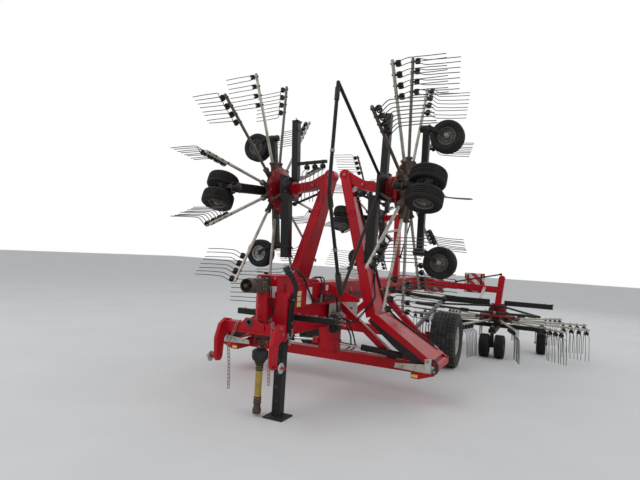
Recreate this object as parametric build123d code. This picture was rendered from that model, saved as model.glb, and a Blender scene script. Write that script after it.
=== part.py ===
# Four-rotor trailed rotary rake, folded for the road with its rear left rotor lowered.
# Millimetres. The machine faces -Y, +X is its left side, +Z is up, the ground is Z = 0.
import math
import os
from collections import namedtuple

from build123d import *

# Clearances
running_gap = 0.3
joint_gap = 8.0

# Main beam
beam_half_width = 130
beam_bottom = 1045
beam_height = 265
beam_front_y = -1480
lid_rear_y = -640
lid_height = 60

# Headstock and hitch
head_y = -1700
head_pivot_radius = 62
head_pivot_bottom = 930
head_pivot_height = 310
head_box_half_width = 120
head_box_front_y = -1640
head_box_rear_y = -1230
head_box_bottom = 1000
head_box_height = 400
pto_stub_radius = 17.45
pto_stub_length = 90
head_gear_half = 60
head_gear_front_y = -1925
head_gear_rear_y = -1690
head_gear_height = 130
yoke_z = 890
yoke_y = -1850
yoke_half_span = 312
yoke_bar = 100
yoke_arm_thick = 36
link_pin_z = 580
link_pin_y = -1960
link_pin_radius = 14
link_pin_length = 110

# Parking leg
leg_x = 190
leg_y = -1600
leg_width = 90
leg_top = 940
leg_foot_thick = 14
leg_foot_width = 220

# Low carrier beam for the front wings
carrier_y = 0
carrier_height = 125
carrier_depth = 150
carrier_bottom = 300
carrier_half = 1230
pedestal_half_width = 110
strut_width = 80
end_bar_width = 90
end_bar_height = 95
hose_plate_x = 133
hose_plate_thick = 8
hose_plate_y = (-370, 580)
hose_plate_z = (825, 1042)
hose_notch = 55

# Rear axle
axle_y = 2000
tyre_radius = 425
tyre_width = 390
rim_radius = 225
track_half = 1130
axle_bar = 110
axle_half = 760
kingpin_x = 830
kingpin_radius = 26
kingpin_height = 240

axle_web_half = 720
axle_stub = 34

# Side rest behind each road wheel: an arm from the beam and a strut from the axle
rest_x = 960
rest_y = 2480
rest_z = 1015
rest_radius = 27
rest_foot_x = 525

# Drive shaft that hangs from the hitch
pto_y = -1690
pto_top = 775
pto_bottom = 20

# Wing layout
rear_lug_half = 80
rear_lug_thick = 24
front_pivot_x = 1430
front_pivot_z = 420
front_hub_y = 0
front_hub_x = 880
front_hub_z = 2510
rear_pivot_x = 370
rear_pivot_z = 1200
rear_hub_y = 4100
rear_hub_x = 890
rear_hub_z = 2510
pivot_pin_radius = 30

# Front boom, given in its folded place
front_bend_x = 634
front_bend_z = 920
front_tip_x = 110
front_tip_z = 2700
boom_foot_depth = 680
boom_bend_depth = 470
boom_tip_depth = 150
boom_root_width = 125
boom_tip_width = 125
boom_plate = 70
boss_z = 2200
boss_radius = 55
boss_length = 240
knee_x = 360
knee_z = 2570

# Fold cylinder of a front boom: eye on the pedestal, barrel's end beside the boom's lug
cylinder_y = -90
cylinder_eye = (155, 530)
cylinder_end = (1080, 480)
cylinder_rod = 18
cylinder_barrel = 38
cylinder_mouth = 330
cylinder_tube = 540
cylinder_pin = 14
eye_radius = 24
eye_width = 50

# Rotor
arm_count = 12
arm_radius = 19
arm_tip = 1590
arm_drop = 60
socket_radius = 34
socket_inner = 225
socket_outer = 400
hub_radius = 240
hub_height = 90
tine_first = 1185
tine_pitch = 120
tine_pairs = 4
tine_gap = 56
tine_length = 530
tine_knee = 130
tine_crank = 85
tine_lean = 105
tine_size = 10
dish_radius = 320
dish_height = 110
housing_radius = 150
housing_height = 120
neck_radius = 55
neck_reach = 270
neck_flange = 76
dish_ribs = 6

# Rotor carriage
dish_above_ground = 680
small_radius = 205
small_width = 165
cross_half = 780
carriage_turn = 4.6
cross_y = 190
cross_size = 80
twin_y = -805
twin_half = 128
twin_trail = 55
twin_leg = 56
twin_turn = 28
fork_trail = 110
fork_plate = 14
wheel_room = 20
axle_pin = 12
swivel_wall = 22
swivel_top = 75
swivel_radius = 24
column_radius = 62
post_size = 90
post_up = 950
post_down = 940
post_down_size = 110
post_y_up = -30
post_y_down = -290
post_plate = 20
post_plate_half = 160
post_plate_reach = 345
flange_radius = 112
flange_thick = 45
stay_radius = 16
rack_size = 40
rack_local = (350, 720)
guard_tube = 18
guard_points = [(770, -1720), (-260, -1730), (-1045, -1365), (-1280, -1240)]

# Rear boom, given in its folded place
rear_tip_x = 400
rear_tip_z = 2510
mast_x = 178
mast_z = 2564
tie_z = 1703
tie_radius = 14
rear_root_width = 190
rear_tip_width = 120

# Each wing: its side, boom, angle of the folded rotor, place of the first arm, arms taken off for the road
Wing = namedtuple("Wing", "name side kind fold first_arm missing lowered guard")
wings = [
    Wing("front_left", 1, "front", 88.5, -7.8, (9,), False, True),
    Wing("front_right", -1, "front", 87, 7.9, (), False, False),
    Wing("rear_left", 1, "rear", 90, 15, (), True, True),
    Wing("rear_right", -1, "rear", 90, 15, (0, 11), False, False),
]


def block(x0, x1, y0, y1, z0, z1):
    centre = Pos((x0 + x1) / 2, (y0 + y1) / 2, (z0 + z1) / 2)
    return centre * Box(abs(x1 - x0), abs(y1 - y0), abs(z1 - z0))


def rod(start, end, radius):
    a, b = Vector(*start), Vector(*end)
    plane = Plane(origin=a, z_dir=b - a)
    return plane * Cylinder(radius, (b - a).length, align=(Align.CENTER, Align.CENTER, Align.MIN))


def bar(start, end, width, depth, side=(0, 1, 0)):
    a, b = Vector(*start), Vector(*end)
    plane = Plane(origin=a, x_dir=Vector(*side), z_dir=b - a)
    return plane * Box(depth, width, (b - a).length, align=(Align.CENTER, Align.CENTER, Align.MIN))


def plate_xz(points, y0, y1):
    face = make_face(Polyline(*[(x, 0, z) for x, z in points], close=True))
    solid = extrude(face, amount=y1 - y0, dir=(0, 1, 0))
    return Pos(0, y0, 0) * solid


def plate_yz(points, x0, x1):
    face = make_face(Polyline(*[(0, y, z) for y, z in points], close=True))
    solid = extrude(face, amount=x1 - x0, dir=(1, 0, 0))
    return Pos(x0, 0, 0) * solid


def wheel(radius, width, rim, hub_radius, hub_half):
    # Tyre, rim and hub in one, axis along X.
    half = width / 2
    shoulder = radius * 0.12
    profile = Polyline(
        (0, -hub_half), (hub_radius, -hub_half), (hub_radius, -half * 0.35), (rim * 0.9, -half * 0.35),
        (rim, -half * 0.82), (radius - shoulder, -half), (radius, -half + shoulder),
        (radius, half - shoulder), (radius - shoulder, half), (rim, half * 0.82),
        (rim * 0.9, half * 0.35), (hub_radius, half * 0.35), (hub_radius, hub_half), (0, hub_half), close=True)
    solid = revolve(make_face(profile), Axis.Y)
    return Rot(0, 0, 90) * solid


def tine(x):
    # One spring wire, cranked sideways near its coil.
    half = tine_size / 2
    shape = plate_yz([(-half, 0), (half, 0), (tine_crank + half, -tine_knee), (tine_lean + half, -tine_length),
                      (tine_lean - half, -tine_length), (tine_crank - half, -tine_knee - half)], x - half, x + half)
    return shape


def rotor_arm():
    z = -arm_drop
    arm = rod((socket_outer - 60, 0, z), (arm_tip, 0, z), arm_radius)
    socket = rod((socket_inner - 20, 0, z), (socket_outer, 0, z), socket_radius)
    arm = arm + socket
    for i in range(tine_pairs):
        r = tine_first + i * tine_pitch
        holder = block(r - tine_gap / 2 - 6, r + tine_gap / 2 + 6, -26, 26, z - 26, z + 26)
        arm = arm + holder
        for side in (-1, 1):
            x = r + side * tine_gap / 2
            arm = arm + Pos(0, 0, z - 20) * tine(x)
    return arm


def rotor(first_arm, missing):
    z = -arm_drop
    hub = Pos(0, 0, z) * Cylinder(hub_radius, hub_height)
    bore = Pos(0, 0, z) * Cylinder(column_radius + running_gap, hub_height + 10)
    hub = hub - bore
    arm = rotor_arm()
    for i in range(arm_count):
        if i in missing:
            continue
        hub = hub + Rot(0, 0, first_arm + i * 360 / arm_count) * arm
    return hub


def gearbox():
    # Dished cover with the bevel gear housing on its inner face.
    low = -arm_drop + hub_height / 2 + joint_gap
    profile = Polyline(
        (0, low), (dish_radius, low), (dish_radius, low + 22), (dish_radius * 0.72, low + 60),
        (housing_radius, low + 72), (housing_radius, low + 72 + housing_height), (0, low + 72 + housing_height),
        close=True)
    # The profile lies in XY and is turned so that its Y is the rotor axis.
    solid = Rot(90, 0, 0) * revolve(make_face(profile), Axis.Y)
    for i in range(dish_ribs):
        rib = plate_xz([(housing_radius - 10, low + 50), (dish_radius - 24, low + 18), (dish_radius - 24, low + 34),
                        (housing_radius - 10, low + 110)], -7, 7)
        solid = solid + Rot(0, 0, 30 + i * 360 / dish_ribs) * rib
    # Input neck of the bevel drive, towards the rear.
    z = low + 72 + housing_height / 2
    solid = solid + rod((0, 0, z), (0, neck_reach, z), neck_radius)
    return solid + rod((0, neck_reach - 24, z), (0, neck_reach, z), neck_flange)


def gearbox_top():
    return -arm_drop + hub_height / 2 + joint_gap + 72 + housing_height


def beam_level():
    return 2 * small_radius + cross_size / 2 + wheel_room - dish_above_ground


def top_frame(wing):
    # Black posts on the inner face of the head, on a plate round the boom's flange.
    z = gearbox_top()
    plate = block(-post_plate_half, post_plate_half, -post_plate_reach, 150, z, z + post_plate)
    plate = plate - rod((0, 0, z - 1), (0, 0, z + post_plate + 1), flange_radius + running_gap)
    z = z + post_plate
    up = block(flange_radius + joint_gap, post_up, post_y_up - post_size / 2, post_y_up + post_size / 2, z, z + post_size)
    down = block(-post_down, -flange_radius - joint_gap, post_y_down - post_down_size / 2, post_y_down + post_down_size / 2,
                 z, z + post_down_size)
    solid = plate + up + down
    if wing.name == "front_right":
        # Rack for a tine arm that is taken off for the road.
        x = rack_local[0]
        half = rack_size / 2
        solid = solid + block(x - half, x + half, post_y_up - half, post_y_up + half, z + 20, rack_local[1])
    return solid


def guard():
    # Safety bow in front of the rotor, in the plane of the post plate.
    z = gearbox_top() + guard_tube
    edge = -post_plate_reach - guard_tube
    first = (post_plate_half - 30, edge, z)
    second = (30 - post_plate_half, edge, z)
    corners = [first] + [(x, y, z) for x, y in guard_points] + [second]
    solid = None
    for a, b in zip(corners, corners[1:]):
        piece = rod(a, b, guard_tube)
        solid = piece if solid is None else solid + piece + Pos(*a) * Sphere(guard_tube)
    lug = block(-post_plate_half, post_plate_half, edge - guard_tube, edge + guard_tube, z - guard_tube, z + guard_tube)
    return solid + lug


def carriage():
    # Black running gear under the rotor, with its column through the hub.
    z = beam_level()
    top = -arm_drop + hub_height / 2 + joint_gap - 0.3
    column = rod((0, 0, z), (0, 0, top), column_radius)
    cross = block(-cross_half, cross_half, cross_y - cross_size / 2, cross_y + cross_size / 2,
                  z - cross_size / 2, z + cross_size / 2)
    spine = block(-50, 50, twin_y, cross_y, z - cross_size / 2, z + cross_size / 2)
    solid = column + cross + spine
    low = z - cross_size / 2
    for x, y in ((-cross_half, cross_y), (cross_half, cross_y), (0, twin_y)):
        solid = solid + rod((x, y, low), (x, y, z + swivel_top), swivel_radius + swivel_wall)
        solid = solid - rod((x, y, low - 1), (x, y, z + swivel_top - 10), swivel_radius + running_gap)
    return solid


def fork(end, swing):
    # One-sided castor leg; swing 0 trails along +Y.
    z = beam_level()
    axle_z = small_radius - dish_above_ground
    top = z - cross_size / 2 - running_gap
    knee = small_width / 2 + 14
    leg = block(-40, knee + fork_plate, -40, 40, top - fork_plate, top)
    leg = leg + rod((0, 0, top - 10), (0, 0, z + swivel_top - 12), swivel_radius)
    arm = plate_yz([(-40, top - fork_plate), (40, top - fork_plate), (fork_trail + 34, axle_z), (fork_trail, axle_z - 34),
                    (fork_trail - 34, axle_z)], knee, knee + fork_plate)
    leg = leg + arm
    leg = leg + rod((knee + 1, fork_trail, axle_z), (-small_width / 2 + 30, fork_trail, axle_z), axle_pin)
    return Pos(end * cross_half, cross_y, 0) * Rot(0, 0, swing) * leg


def twin_place(swing):
    return Pos(0, twin_y, 0) * Rot(0, 0, swing)


def twin_fork(swing):
    # Castor leg that stands between the two front wheels; swing 0 trails along +Y.
    z = beam_level()
    axle_z = small_radius - dish_above_ground
    top = z - cross_size / 2 - running_gap
    side = [(-44, top), (-44, top - 40), (twin_trail - 34, axle_z), (twin_trail, axle_z - 34), (twin_trail + 34, axle_z),
            (44, top - 40), (44, top)]
    leg = plate_yz(side, -twin_leg / 2, twin_leg / 2)
    leg = leg + rod((0, 0, top - 10), (0, 0, z + swivel_top - 12), swivel_radius)
    reach = twin_half + small_width / 2 - 30
    leg = leg + rod((-reach, twin_trail, axle_z), (reach, twin_trail, axle_z), axle_pin)
    return twin_place(swing) * leg


def twin_wheels(swing):
    axle_z = small_radius - dish_above_ground
    pair = [Pos(x, twin_trail, axle_z) * small_wheel() for x in (-twin_half, twin_half)]
    return twin_place(swing) * Compound(pair)


def small_wheel():
    solid = wheel(small_radius, small_width, 105, 34, small_width / 2 - 12)
    return solid - rod((-200, 0, 0), (200, 0, 0), axle_pin + running_gap)


def boom_flange():
    z = gearbox_top()
    return rod((0, 0, z), (0, 0, z + flange_thick), flange_radius)


def tapered(start, end, first, last):
    # Beam in the XZ plane between two points; sizes are (width in XZ, depth along Y).
    a, b = Vector(*start), Vector(*end)
    direction = b - a
    low = Plane(origin=a, x_dir=(0, 1, 0), z_dir=direction)
    high = Plane(origin=b, x_dir=(0, 1, 0), z_dir=direction)
    return loft([low * Rectangle(first[1], first[0]), high * Rectangle(last[1], last[0])], ruled=True)


def front_boom(place):
    pivot = (front_pivot_x, 0, front_pivot_z)
    bend = (front_bend_x, 0, front_bend_z)
    tip = (front_tip_x, 0, front_tip_z)
    foot = tapered(pivot, bend, (boom_plate, boom_foot_depth), (boom_plate, boom_bend_depth))
    upper = tapered(bend, tip, (boom_root_width, boom_bend_depth), (boom_tip_width, boom_tip_depth))
    half = boom_foot_depth / 2
    tube = rod((pivot[0], -half, pivot[2]), (pivot[0], half, pivot[2]), pivot_pin_radius + 22)
    solid = foot + upper + tube
    for side in (-1, 1):
        solid = solid + foot_rib(side)
    # Lug beside the end of the fold cylinder.
    x, z = cylinder_end
    lug_y = cylinder_y - cylinder_barrel - 7
    solid = solid + plate_xz([(x - 45, z - 30), (x + 45, z - 30), (x + 75, z + 110), (x - 65, z + 180)], lug_y - 12, lug_y)
    boss_x = boom_x(boss_z)
    solid = solid + rod((boss_x, -boss_length / 2, boss_z), (boss_x, boss_length / 2, boss_z), boss_radius)
    knee = (knee_x, 0, knee_z)
    end = (place * Pos(0, 0, gearbox_top() + flange_thick / 2)).position
    solid = solid + bar(tip, knee, 120, 120) + bar(knee, (end.X, 0, end.Z), 120, 120)
    solid = solid + Pos(*tip) * Rot(90, 0, 0) * Cylinder(75, boom_tip_depth)
    solid = solid + Pos(*knee) * Rot(90, 0, 0) * Cylinder(60, 120)
    return solid - rod((pivot[0], -half - 1, pivot[2]), (pivot[0], half + 1, pivot[2]), pivot_pin_radius + running_gap)


def boom_x(z):
    # Middle of the folded front boom's upper part at a height.
    return front_tip_x + (front_bend_x - front_tip_x) * (front_tip_z - z) / (front_tip_z - front_bend_z)


def front_stay():
    # Stay from the boom, below its tip, to the lower edge of the post plate.
    z = 2470
    start = (boom_x(z) + boom_tip_width / 2 + 32, 0, z)
    end = (front_hub_x - gearbox_top() - post_plate - 26, 0, front_hub_z - post_plate_half - 30)
    solid = rod(start, end, stay_radius)
    for x, y, height in (start, end):
        solid = solid + Pos(x, y, height) * Rot(90, 0, 0) * Cylinder(stay_radius + 12, 40)
    return solid


def rear_tie():
    # Tie rod above the rear boom, from its middle to the mast.
    x = rear_pivot_x + (rear_tip_x - rear_pivot_x) * (tie_z - rear_pivot_z) / (rear_tip_z - rear_pivot_z)
    start = (x - rear_root_width * 0.3 - 25.6, 0, tie_z)
    end = (mast_x - 79, 0, mast_z - 25)
    solid = rod(start, end, tie_radius)
    for x, y, height in (start, end):
        solid = solid + Pos(x, y, height) * Rot(90, 0, 0) * Cylinder(tie_radius + 10, 40)
    return solid


def foot_rib(side):
    # Stiffening rib along one edge of the boom's foot.
    y0 = side * (boom_foot_depth / 2 - 20)
    y1 = side * (boom_bend_depth / 2 - 20)
    start = (front_pivot_x, y0, front_pivot_z)
    end = (front_bend_x, y1, front_bend_z)
    return bar(start, end, 130, 40)


def rear_boom(place):
    pivot = (rear_pivot_x, 0, rear_pivot_z)
    tip = (rear_tip_x, 0, rear_tip_z)
    half = rear_lug_half
    upper = tapered(pivot, tip, (rear_root_width * 0.6, 2 * half), (rear_tip_width, rear_tip_width))
    tube = rod((pivot[0], -half, pivot[2]), (pivot[0], half, pivot[2]), pivot_pin_radius + 24)
    end = (place * Pos(0, 0, gearbox_top() + flange_thick / 2)).position
    mast = (mast_x, 0, mast_z)
    solid = upper + tube + bar(mast, (end.X, 0, end.Z), 110, 110) + bar(tip, (mast_x + 240, 0, mast_z - 20), 110, 110)
    solid = solid + Pos(*mast) * Rot(90, 0, 0) * Cylinder(58, 110)
    solid = solid + Pos(*tip) * Rot(90, 0, 0) * Cylinder(60, rear_tip_width)
    return solid - rod((pivot[0], -half - 1, pivot[2]), (pivot[0], half + 1, pivot[2]), pivot_pin_radius + running_gap)


def wing_nodes(wing):
    front = wing.kind == "front"
    pivot_x = front_pivot_x if front else rear_pivot_x
    pivot_z = front_pivot_z if front else rear_pivot_z
    hub = (front_hub_x, 0, front_hub_z) if front else (rear_hub_x, 0, rear_hub_z)
    hub_y = front_hub_y if front else rear_hub_y
    fold = wing.fold
    place = Pos(*hub) * Rot(0, -fold, 0)
    unfold = Pos(pivot_x, 0, pivot_z) * Rot(0, fold, 0) * Pos(-pivot_x, 0, -pivot_z)
    # The running gear stands slightly turned about the rotor's axis when it is folded.
    turned = place if wing.lowered else place * Rot(0, 0, -carriage_turn)
    swing = 0 if wing.lowered else 90 + carriage_turn
    axle_z = small_radius - dish_above_ground
    pieces = {}
    boom = front_boom(place) if front else rear_boom(place)
    cap = gearbox_cut(place)
    pieces["boom"] = boom - cap + place * boom_flange()
    pieces["gearbox"] = place * gearbox()
    pieces["carriage"] = Compound([turned * carriage(), place * top_frame(wing), front_stay() if front else rear_tie()])
    pieces["rotor"] = place * rotor(wing.first_arm, wing.missing)
    for name, end in (("outer", 1), ("inner", -1)):
        pieces["castor_fork_" + name] = turned * fork(end, swing)
        turn = Pos(end * cross_half, cross_y, 0) * Rot(0, 0, swing) * Pos(0, fork_trail, axle_z)
        pieces["castor_wheel_" + name] = turned * turn * small_wheel()
    twin_swing = 0 if wing.lowered else twin_turn
    pieces["twin_fork"] = turned * twin_fork(twin_swing)
    pieces["twin_wheels"] = turned * twin_wheels(twin_swing)
    if wing.guard:
        pieces["guard"] = place * guard()
    nodes = {}
    for key, shape in pieces.items():
        if wing.lowered:
            shape = unfold * shape
        shape = Pos(0, hub_y, 0) * shape
        if wing.side < 0:
            shape = mirror(shape, about=Plane.YZ)
        nodes[wing.name + "_" + key] = shape
    return nodes


def gearbox_cut(place):
    # Room for the housing where the link meets it.
    z = gearbox_top()
    return place * block(-400, 400, -400, 400, z - 400, z)


def beam_rear_y():
    return rear_hub_y + rear_lug_half + joint_gap + rear_lug_thick


def main_beam():
    top = beam_bottom + beam_height
    beam = block(-beam_half_width, beam_half_width, beam_front_y, beam_rear_y(), beam_bottom, top)
    lid = plate_yz([(beam_front_y, top), (lid_rear_y, top), (lid_rear_y - 60, top + lid_height * 0.6),
                    (beam_front_y + 250, top + lid_height), (beam_front_y, top + lid_height)],
                   -beam_half_width + 15, beam_half_width - 15)
    box = block(-head_box_half_width, head_box_half_width, head_box_front_y, head_box_rear_y,
                head_box_bottom, head_box_bottom + head_box_height)
    tube = rod((0, head_y, head_pivot_bottom), (0, head_y, head_pivot_bottom + head_pivot_height), head_pivot_radius)
    neck = block(-50, 50, head_y + 20, head_box_front_y, head_pivot_bottom + 60, head_pivot_bottom + head_pivot_height)
    solid = beam + lid + box + tube + neck
    inner = beam_half_width
    sleeve = leg_width / 2 + 14
    solid = solid + block(inner - 20, leg_x + sleeve, leg_y - sleeve, leg_y + sleeve, 760, 1240)
    solid = solid - block(leg_x - leg_width / 2 - running_gap, leg_x + leg_width / 2 + running_gap,
                          leg_y - leg_width / 2 - running_gap, leg_y + leg_width / 2 + running_gap, 700, 1300)
    lug = rear_lug_half + joint_gap
    for side in (-1, 1):
        y = rear_hub_y + side * (lug + rear_lug_thick / 2)
        reach = rear_pivot_x + 70
        ear = plate_xz([(-reach, rear_pivot_z - 70), (-200, beam_bottom), (200, beam_bottom), (reach, rear_pivot_z - 70),
                        (reach, rear_pivot_z + 70), (200, top), (-200, top), (-reach, rear_pivot_z + 70)],
                       y - rear_lug_thick / 2, y + rear_lug_thick / 2)
        solid = solid + ear
        solid = solid + rod((side * rear_pivot_x, rear_hub_y - lug - 5, rear_pivot_z),
                            (side * rear_pivot_x, rear_hub_y + lug + 5, rear_pivot_z), pivot_pin_radius)
    return solid - rod((0, head_y, head_pivot_bottom - 1),
                       (0, head_y, head_pivot_bottom + head_pivot_height - 30), pivot_pin_radius + running_gap)


def wing_carrier():
    y0 = carrier_y - carrier_depth / 2
    y1 = carrier_y + carrier_depth / 2
    top = carrier_bottom + carrier_height
    low = block(-carrier_half, carrier_half, y0, y1, carrier_bottom, top)
    solid = low + block(-pedestal_half_width, pedestal_half_width, y0 - 30, y1 + 30, top - 20, beam_bottom)
    half = boom_foot_depth / 2 + joint_gap
    for side in (-1, 1):
        solid = solid + bar((side * 120, carrier_y, beam_bottom - 30), (side * 930, carrier_y, top - 40),
                            strut_width, strut_width)
        x = side * (carrier_half + 10)
        bar_half = end_bar_width / 2
        bar_top = carrier_bottom + end_bar_height
        solid = solid + block(x - bar_half, x + bar_half, carrier_y - half - 20, carrier_y + half + 20,
                              carrier_bottom, bar_top)
        p = side * front_pivot_x
        for front in (-1, 1):
            y = carrier_y + front * (half + 10)
            ear = plate_xz([(x - side * bar_half, carrier_bottom), (x + side * bar_half, carrier_bottom),
                            (p + side * 30, front_pivot_z - 60), (p + side * 50, front_pivot_z + 45),
                            (p - side * 50, front_pivot_z + 45), (x - side * bar_half, bar_top)], y - 10, y + 10)
            solid = solid + ear
        solid = solid + cylinder_lug(side)
        solid = solid + rod((p, carrier_y - half - 15, front_pivot_z), (p, carrier_y + half + 15, front_pivot_z),
                            pivot_pin_radius)
    return solid + hose_plate()


def cylinder_lug(side):
    # Forked lug on the pedestal with the pin of the fold cylinder's rod.
    x, z = cylinder_eye
    y = cylinder_y
    lug = block(side * (pedestal_half_width - 5), side * (x + 30), y - 45, y + 45, z - 35, z + 35)
    slot = block(side * (x - eye_radius - 6), side * (x + 31), y - eye_width / 2 - 1, y + eye_width / 2 + 1, z - 36, z + 36)
    return lug - slot + rod((side * x, y - 45, z), (side * x, y + 45, z), cylinder_pin)


def hose_plate():
    # Scalloped plate under the beam's left side that carries the hose couplings.
    y0, y1 = hose_plate_y
    z0, z1 = hose_plate_z
    plate = plate_yz([(y0 + 60, z0), (y1 - 30, z0), (y1, z0 + 40), (y1, z1), (y0, z1), (y0, z0 + 60)],
                     hose_plate_x, hose_plate_x + hose_plate_thick)
    for i in range(4):
        y = y0 + 170 + i * 190
        plate = plate - rod((hose_plate_x - 5, y, z0), (hose_plate_x + 20, y, z0), hose_notch)
    return plate


def cylinder_line():
    # Length of the fold cylinder between its eyes, and a frame with Z along it.
    (x0, z0), (x1, z1) = cylinder_eye, cylinder_end
    length = math.hypot(x1 - x0, z1 - z0)
    return length, Plane(origin=(x0, cylinder_y, z0), x_dir=(0, 1, 0), z_dir=(x1 - x0, 0, z1 - z0))


def cylinder_rods():
    length, line = cylinder_line()
    eye = Rot(0, 90, 0) * Cylinder(eye_radius, eye_width)
    solid = Pos(0, 0, 12) * Cylinder(cylinder_rod, cylinder_mouth + cylinder_tube - 60,
                                     align=(Align.CENTER, Align.CENTER, Align.MIN))
    solid = solid + eye - Rot(0, 90, 0) * Cylinder(cylinder_pin + running_gap, eye_width + 4)
    return line * solid


def cylinder_barrels():
    length, line = cylinder_line()
    tube = Pos(0, 0, cylinder_mouth) * Cylinder(cylinder_barrel, cylinder_tube,
                                                align=(Align.CENTER, Align.CENTER, Align.MIN))
    bore = Pos(0, 0, cylinder_mouth - 1) * Cylinder(cylinder_rod + running_gap, cylinder_tube - 20,
                                                    align=(Align.CENTER, Align.CENTER, Align.MIN))
    neck = Pos(0, 0, cylinder_mouth + cylinder_tube - 6) * Box(46, 46, length - cylinder_mouth - cylinder_tube + 6,
                                                              align=(Align.CENTER, Align.CENTER, Align.MIN))
    eye = Pos(0, 0, length) * Rot(0, 90, 0) * Cylinder(34, 60)
    hole = Pos(0, 0, length) * Rot(0, 90, 0) * Cylinder(cylinder_pin + 1, 70)
    return line * (tube + neck + eye - bore - hole)


def rear_axle():
    z = tyre_radius
    solid = block(-axle_half, axle_half, axle_y - axle_bar / 2, axle_y + axle_bar / 2, z - axle_bar / 2, z + axle_bar / 2)
    top = z + axle_bar / 2
    half = axle_web_half
    web = plate_xz([(-half, top), (half, top), (beam_half_width, beam_bottom), (-beam_half_width, beam_bottom)],
                   axle_y - 45, axle_y + 45)
    solid = solid + web - plate_xz([(-half + 180, top + 40), (half - 180, top + 40), (60, beam_bottom - 70),
                                    (-60, beam_bottom - 70)], axle_y - 60, axle_y + 60)
    for side in (-1, 1):
        corner = (side * rest_x, rest_y, rest_z)
        solid = solid + rod((side * rest_foot_x, axle_y + 15, z), corner, rest_radius)
        end = beam_half_width + running_gap
        solid = solid + rod(corner, (side * (end + 10), rest_y - 60, rest_z + 65), rest_radius)
        solid = solid + block(side * end, side * (end + 30), rest_y - 110, rest_y - 10, rest_z + 32, rest_z + 120)
        solid = solid + Pos(*corner) * Sphere(rest_radius + 14)
    for side in (-1, 1):
        x = side * kingpin_x
        solid = solid + rod((x, axle_y, z - 60), (x, axle_y, z + 60), kingpin_radius + 20)
        solid = solid + block(side * (axle_half - 5), side * (kingpin_x - 20), axle_y - 30, axle_y + 30, z - 40, z + 40)
        solid = solid - rod((x, axle_y, z - 70), (x, axle_y, z + 70), kingpin_radius + running_gap)
    return solid


def knuckle(side):
    z = tyre_radius
    x = side * kingpin_x
    solid = rod((x, axle_y, z - 80), (x, axle_y, z + 80), kingpin_radius)
    for low in (-80, 60 + running_gap):
        solid = solid + block(x - 34, x + 34, axle_y - 34, axle_y + 34, z + low, z + low + 20 - running_gap)
        solid = solid + block(x, x + side * 75, axle_y - 34, axle_y + 34, z + low, z + low + 20 - running_gap)
    solid = solid + block(x + side * 55, x + side * 75, axle_y - 34, axle_y + 34, z - 80, z + 80)
    return solid + rod((x + side * 60, axle_y, z), (side * (track_half + 90), axle_y, z), axle_stub)


def transport_wheel(side):
    body = wheel(tyre_radius, tyre_width, rim_radius, 75, tyre_width * 0.3)
    body = body - rod((-400, 0, 0), (400, 0, 0), axle_stub + running_gap)
    return Pos(side * track_half, axle_y, tyre_radius) * body


def hitch_yoke():
    base_z = head_pivot_bottom - running_gap
    solid = block(-60, 60, yoke_y - 20, head_y + 50, base_z - 30, base_z)
    solid = solid + rod((0, head_y, base_z - 5), (0, head_y, head_pivot_bottom + head_pivot_height - 60), pivot_pin_radius)
    half = yoke_bar / 2
    solid = solid + block(-yoke_half_span, yoke_half_span, yoke_y - half, yoke_y + half, yoke_z - half, yoke_z + half)
    solid = solid + block(-60, 60, yoke_y - half, yoke_y + half, base_z - 30, yoke_z)
    for side in (-1, 1):
        arm = plate_yz([(yoke_y + 60, yoke_z + 55), (yoke_y - 30, yoke_z + 70), (yoke_y - 120, yoke_z + 20),
                        (yoke_y - 170, yoke_z - 110), (link_pin_y - 46, link_pin_z + 4), (link_pin_y - 20, link_pin_z - 28),
                        (link_pin_y + 24, link_pin_z - 24), (link_pin_y + 46, link_pin_z + 12), (yoke_y - 50, yoke_z - 120),
                        (yoke_y + 40, yoke_z - 60)],
                       side * yoke_half_span - yoke_arm_thick / 2, side * yoke_half_span + yoke_arm_thick / 2)
        x = side * (yoke_half_span + yoke_arm_thick / 2)
        solid = solid + arm + rod((x - side * 10, link_pin_y, link_pin_z),
                                  (x + side * link_pin_length, link_pin_y, link_pin_z), link_pin_radius)
    stub = rod((0, pto_y, pto_top), (0, pto_y, base_z - 10), 32)
    ears = block(-46, -36, pto_y - 30, pto_y + 30, pto_top - 60, pto_top + 30)
    ears = ears + block(36, 46, pto_y - 30, pto_y + 30, pto_top - 60, pto_top + 30)
    ears = ears + block(-46, 46, pto_y - 30, pto_y + 30, pto_top, pto_top + 30)
    return solid + stub + ears


def pto_shaft():
    # Universal joint, bell and guard tube, hanging straight down.
    z = pto_top - 35
    solid = rod((-36 + running_gap, pto_y, z), (36 - running_gap, pto_y, z), 16)
    solid = solid + block(-26, 26, pto_y - 22, pto_y + 22, z - 90, z + 22)
    solid = solid + Pos(0, pto_y, z - 130) * Cone(66, 44, 110)
    solid = solid + rod((0, pto_y, pto_bottom + 130), (0, pto_y, z - 80), 34)
    return solid + rod((0, pto_y, pto_bottom), (0, pto_y, pto_bottom + 150), 22)


def parking_leg():
    half = leg_width / 2
    leg = block(leg_x - half, leg_x + half, leg_y - half, leg_y + half, 5, leg_top)
    foot = leg_foot_width / 2
    return leg + block(leg_x - foot, leg_x + foot, leg_y - foot, leg_y + foot, 0, leg_foot_thick)


def headstock_gearbox():
    z = head_pivot_bottom + head_pivot_height
    top = z + head_gear_height
    middle = (z + top) / 2
    solid = block(-head_gear_half, head_gear_half, head_gear_front_y, head_gear_rear_y, z, top)
    solid = solid + rod((0, head_gear_front_y + 30, middle), (0, head_gear_front_y - 12, middle), 42)
    return solid + rod((0, head_gear_front_y, middle), (0, head_gear_front_y - pto_stub_length - 12, middle),
                       pto_stub_radius)


def cross_bar():
    return block(-520, 660, -1380, -1320, head_box_bottom - 60, head_box_bottom)


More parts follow.
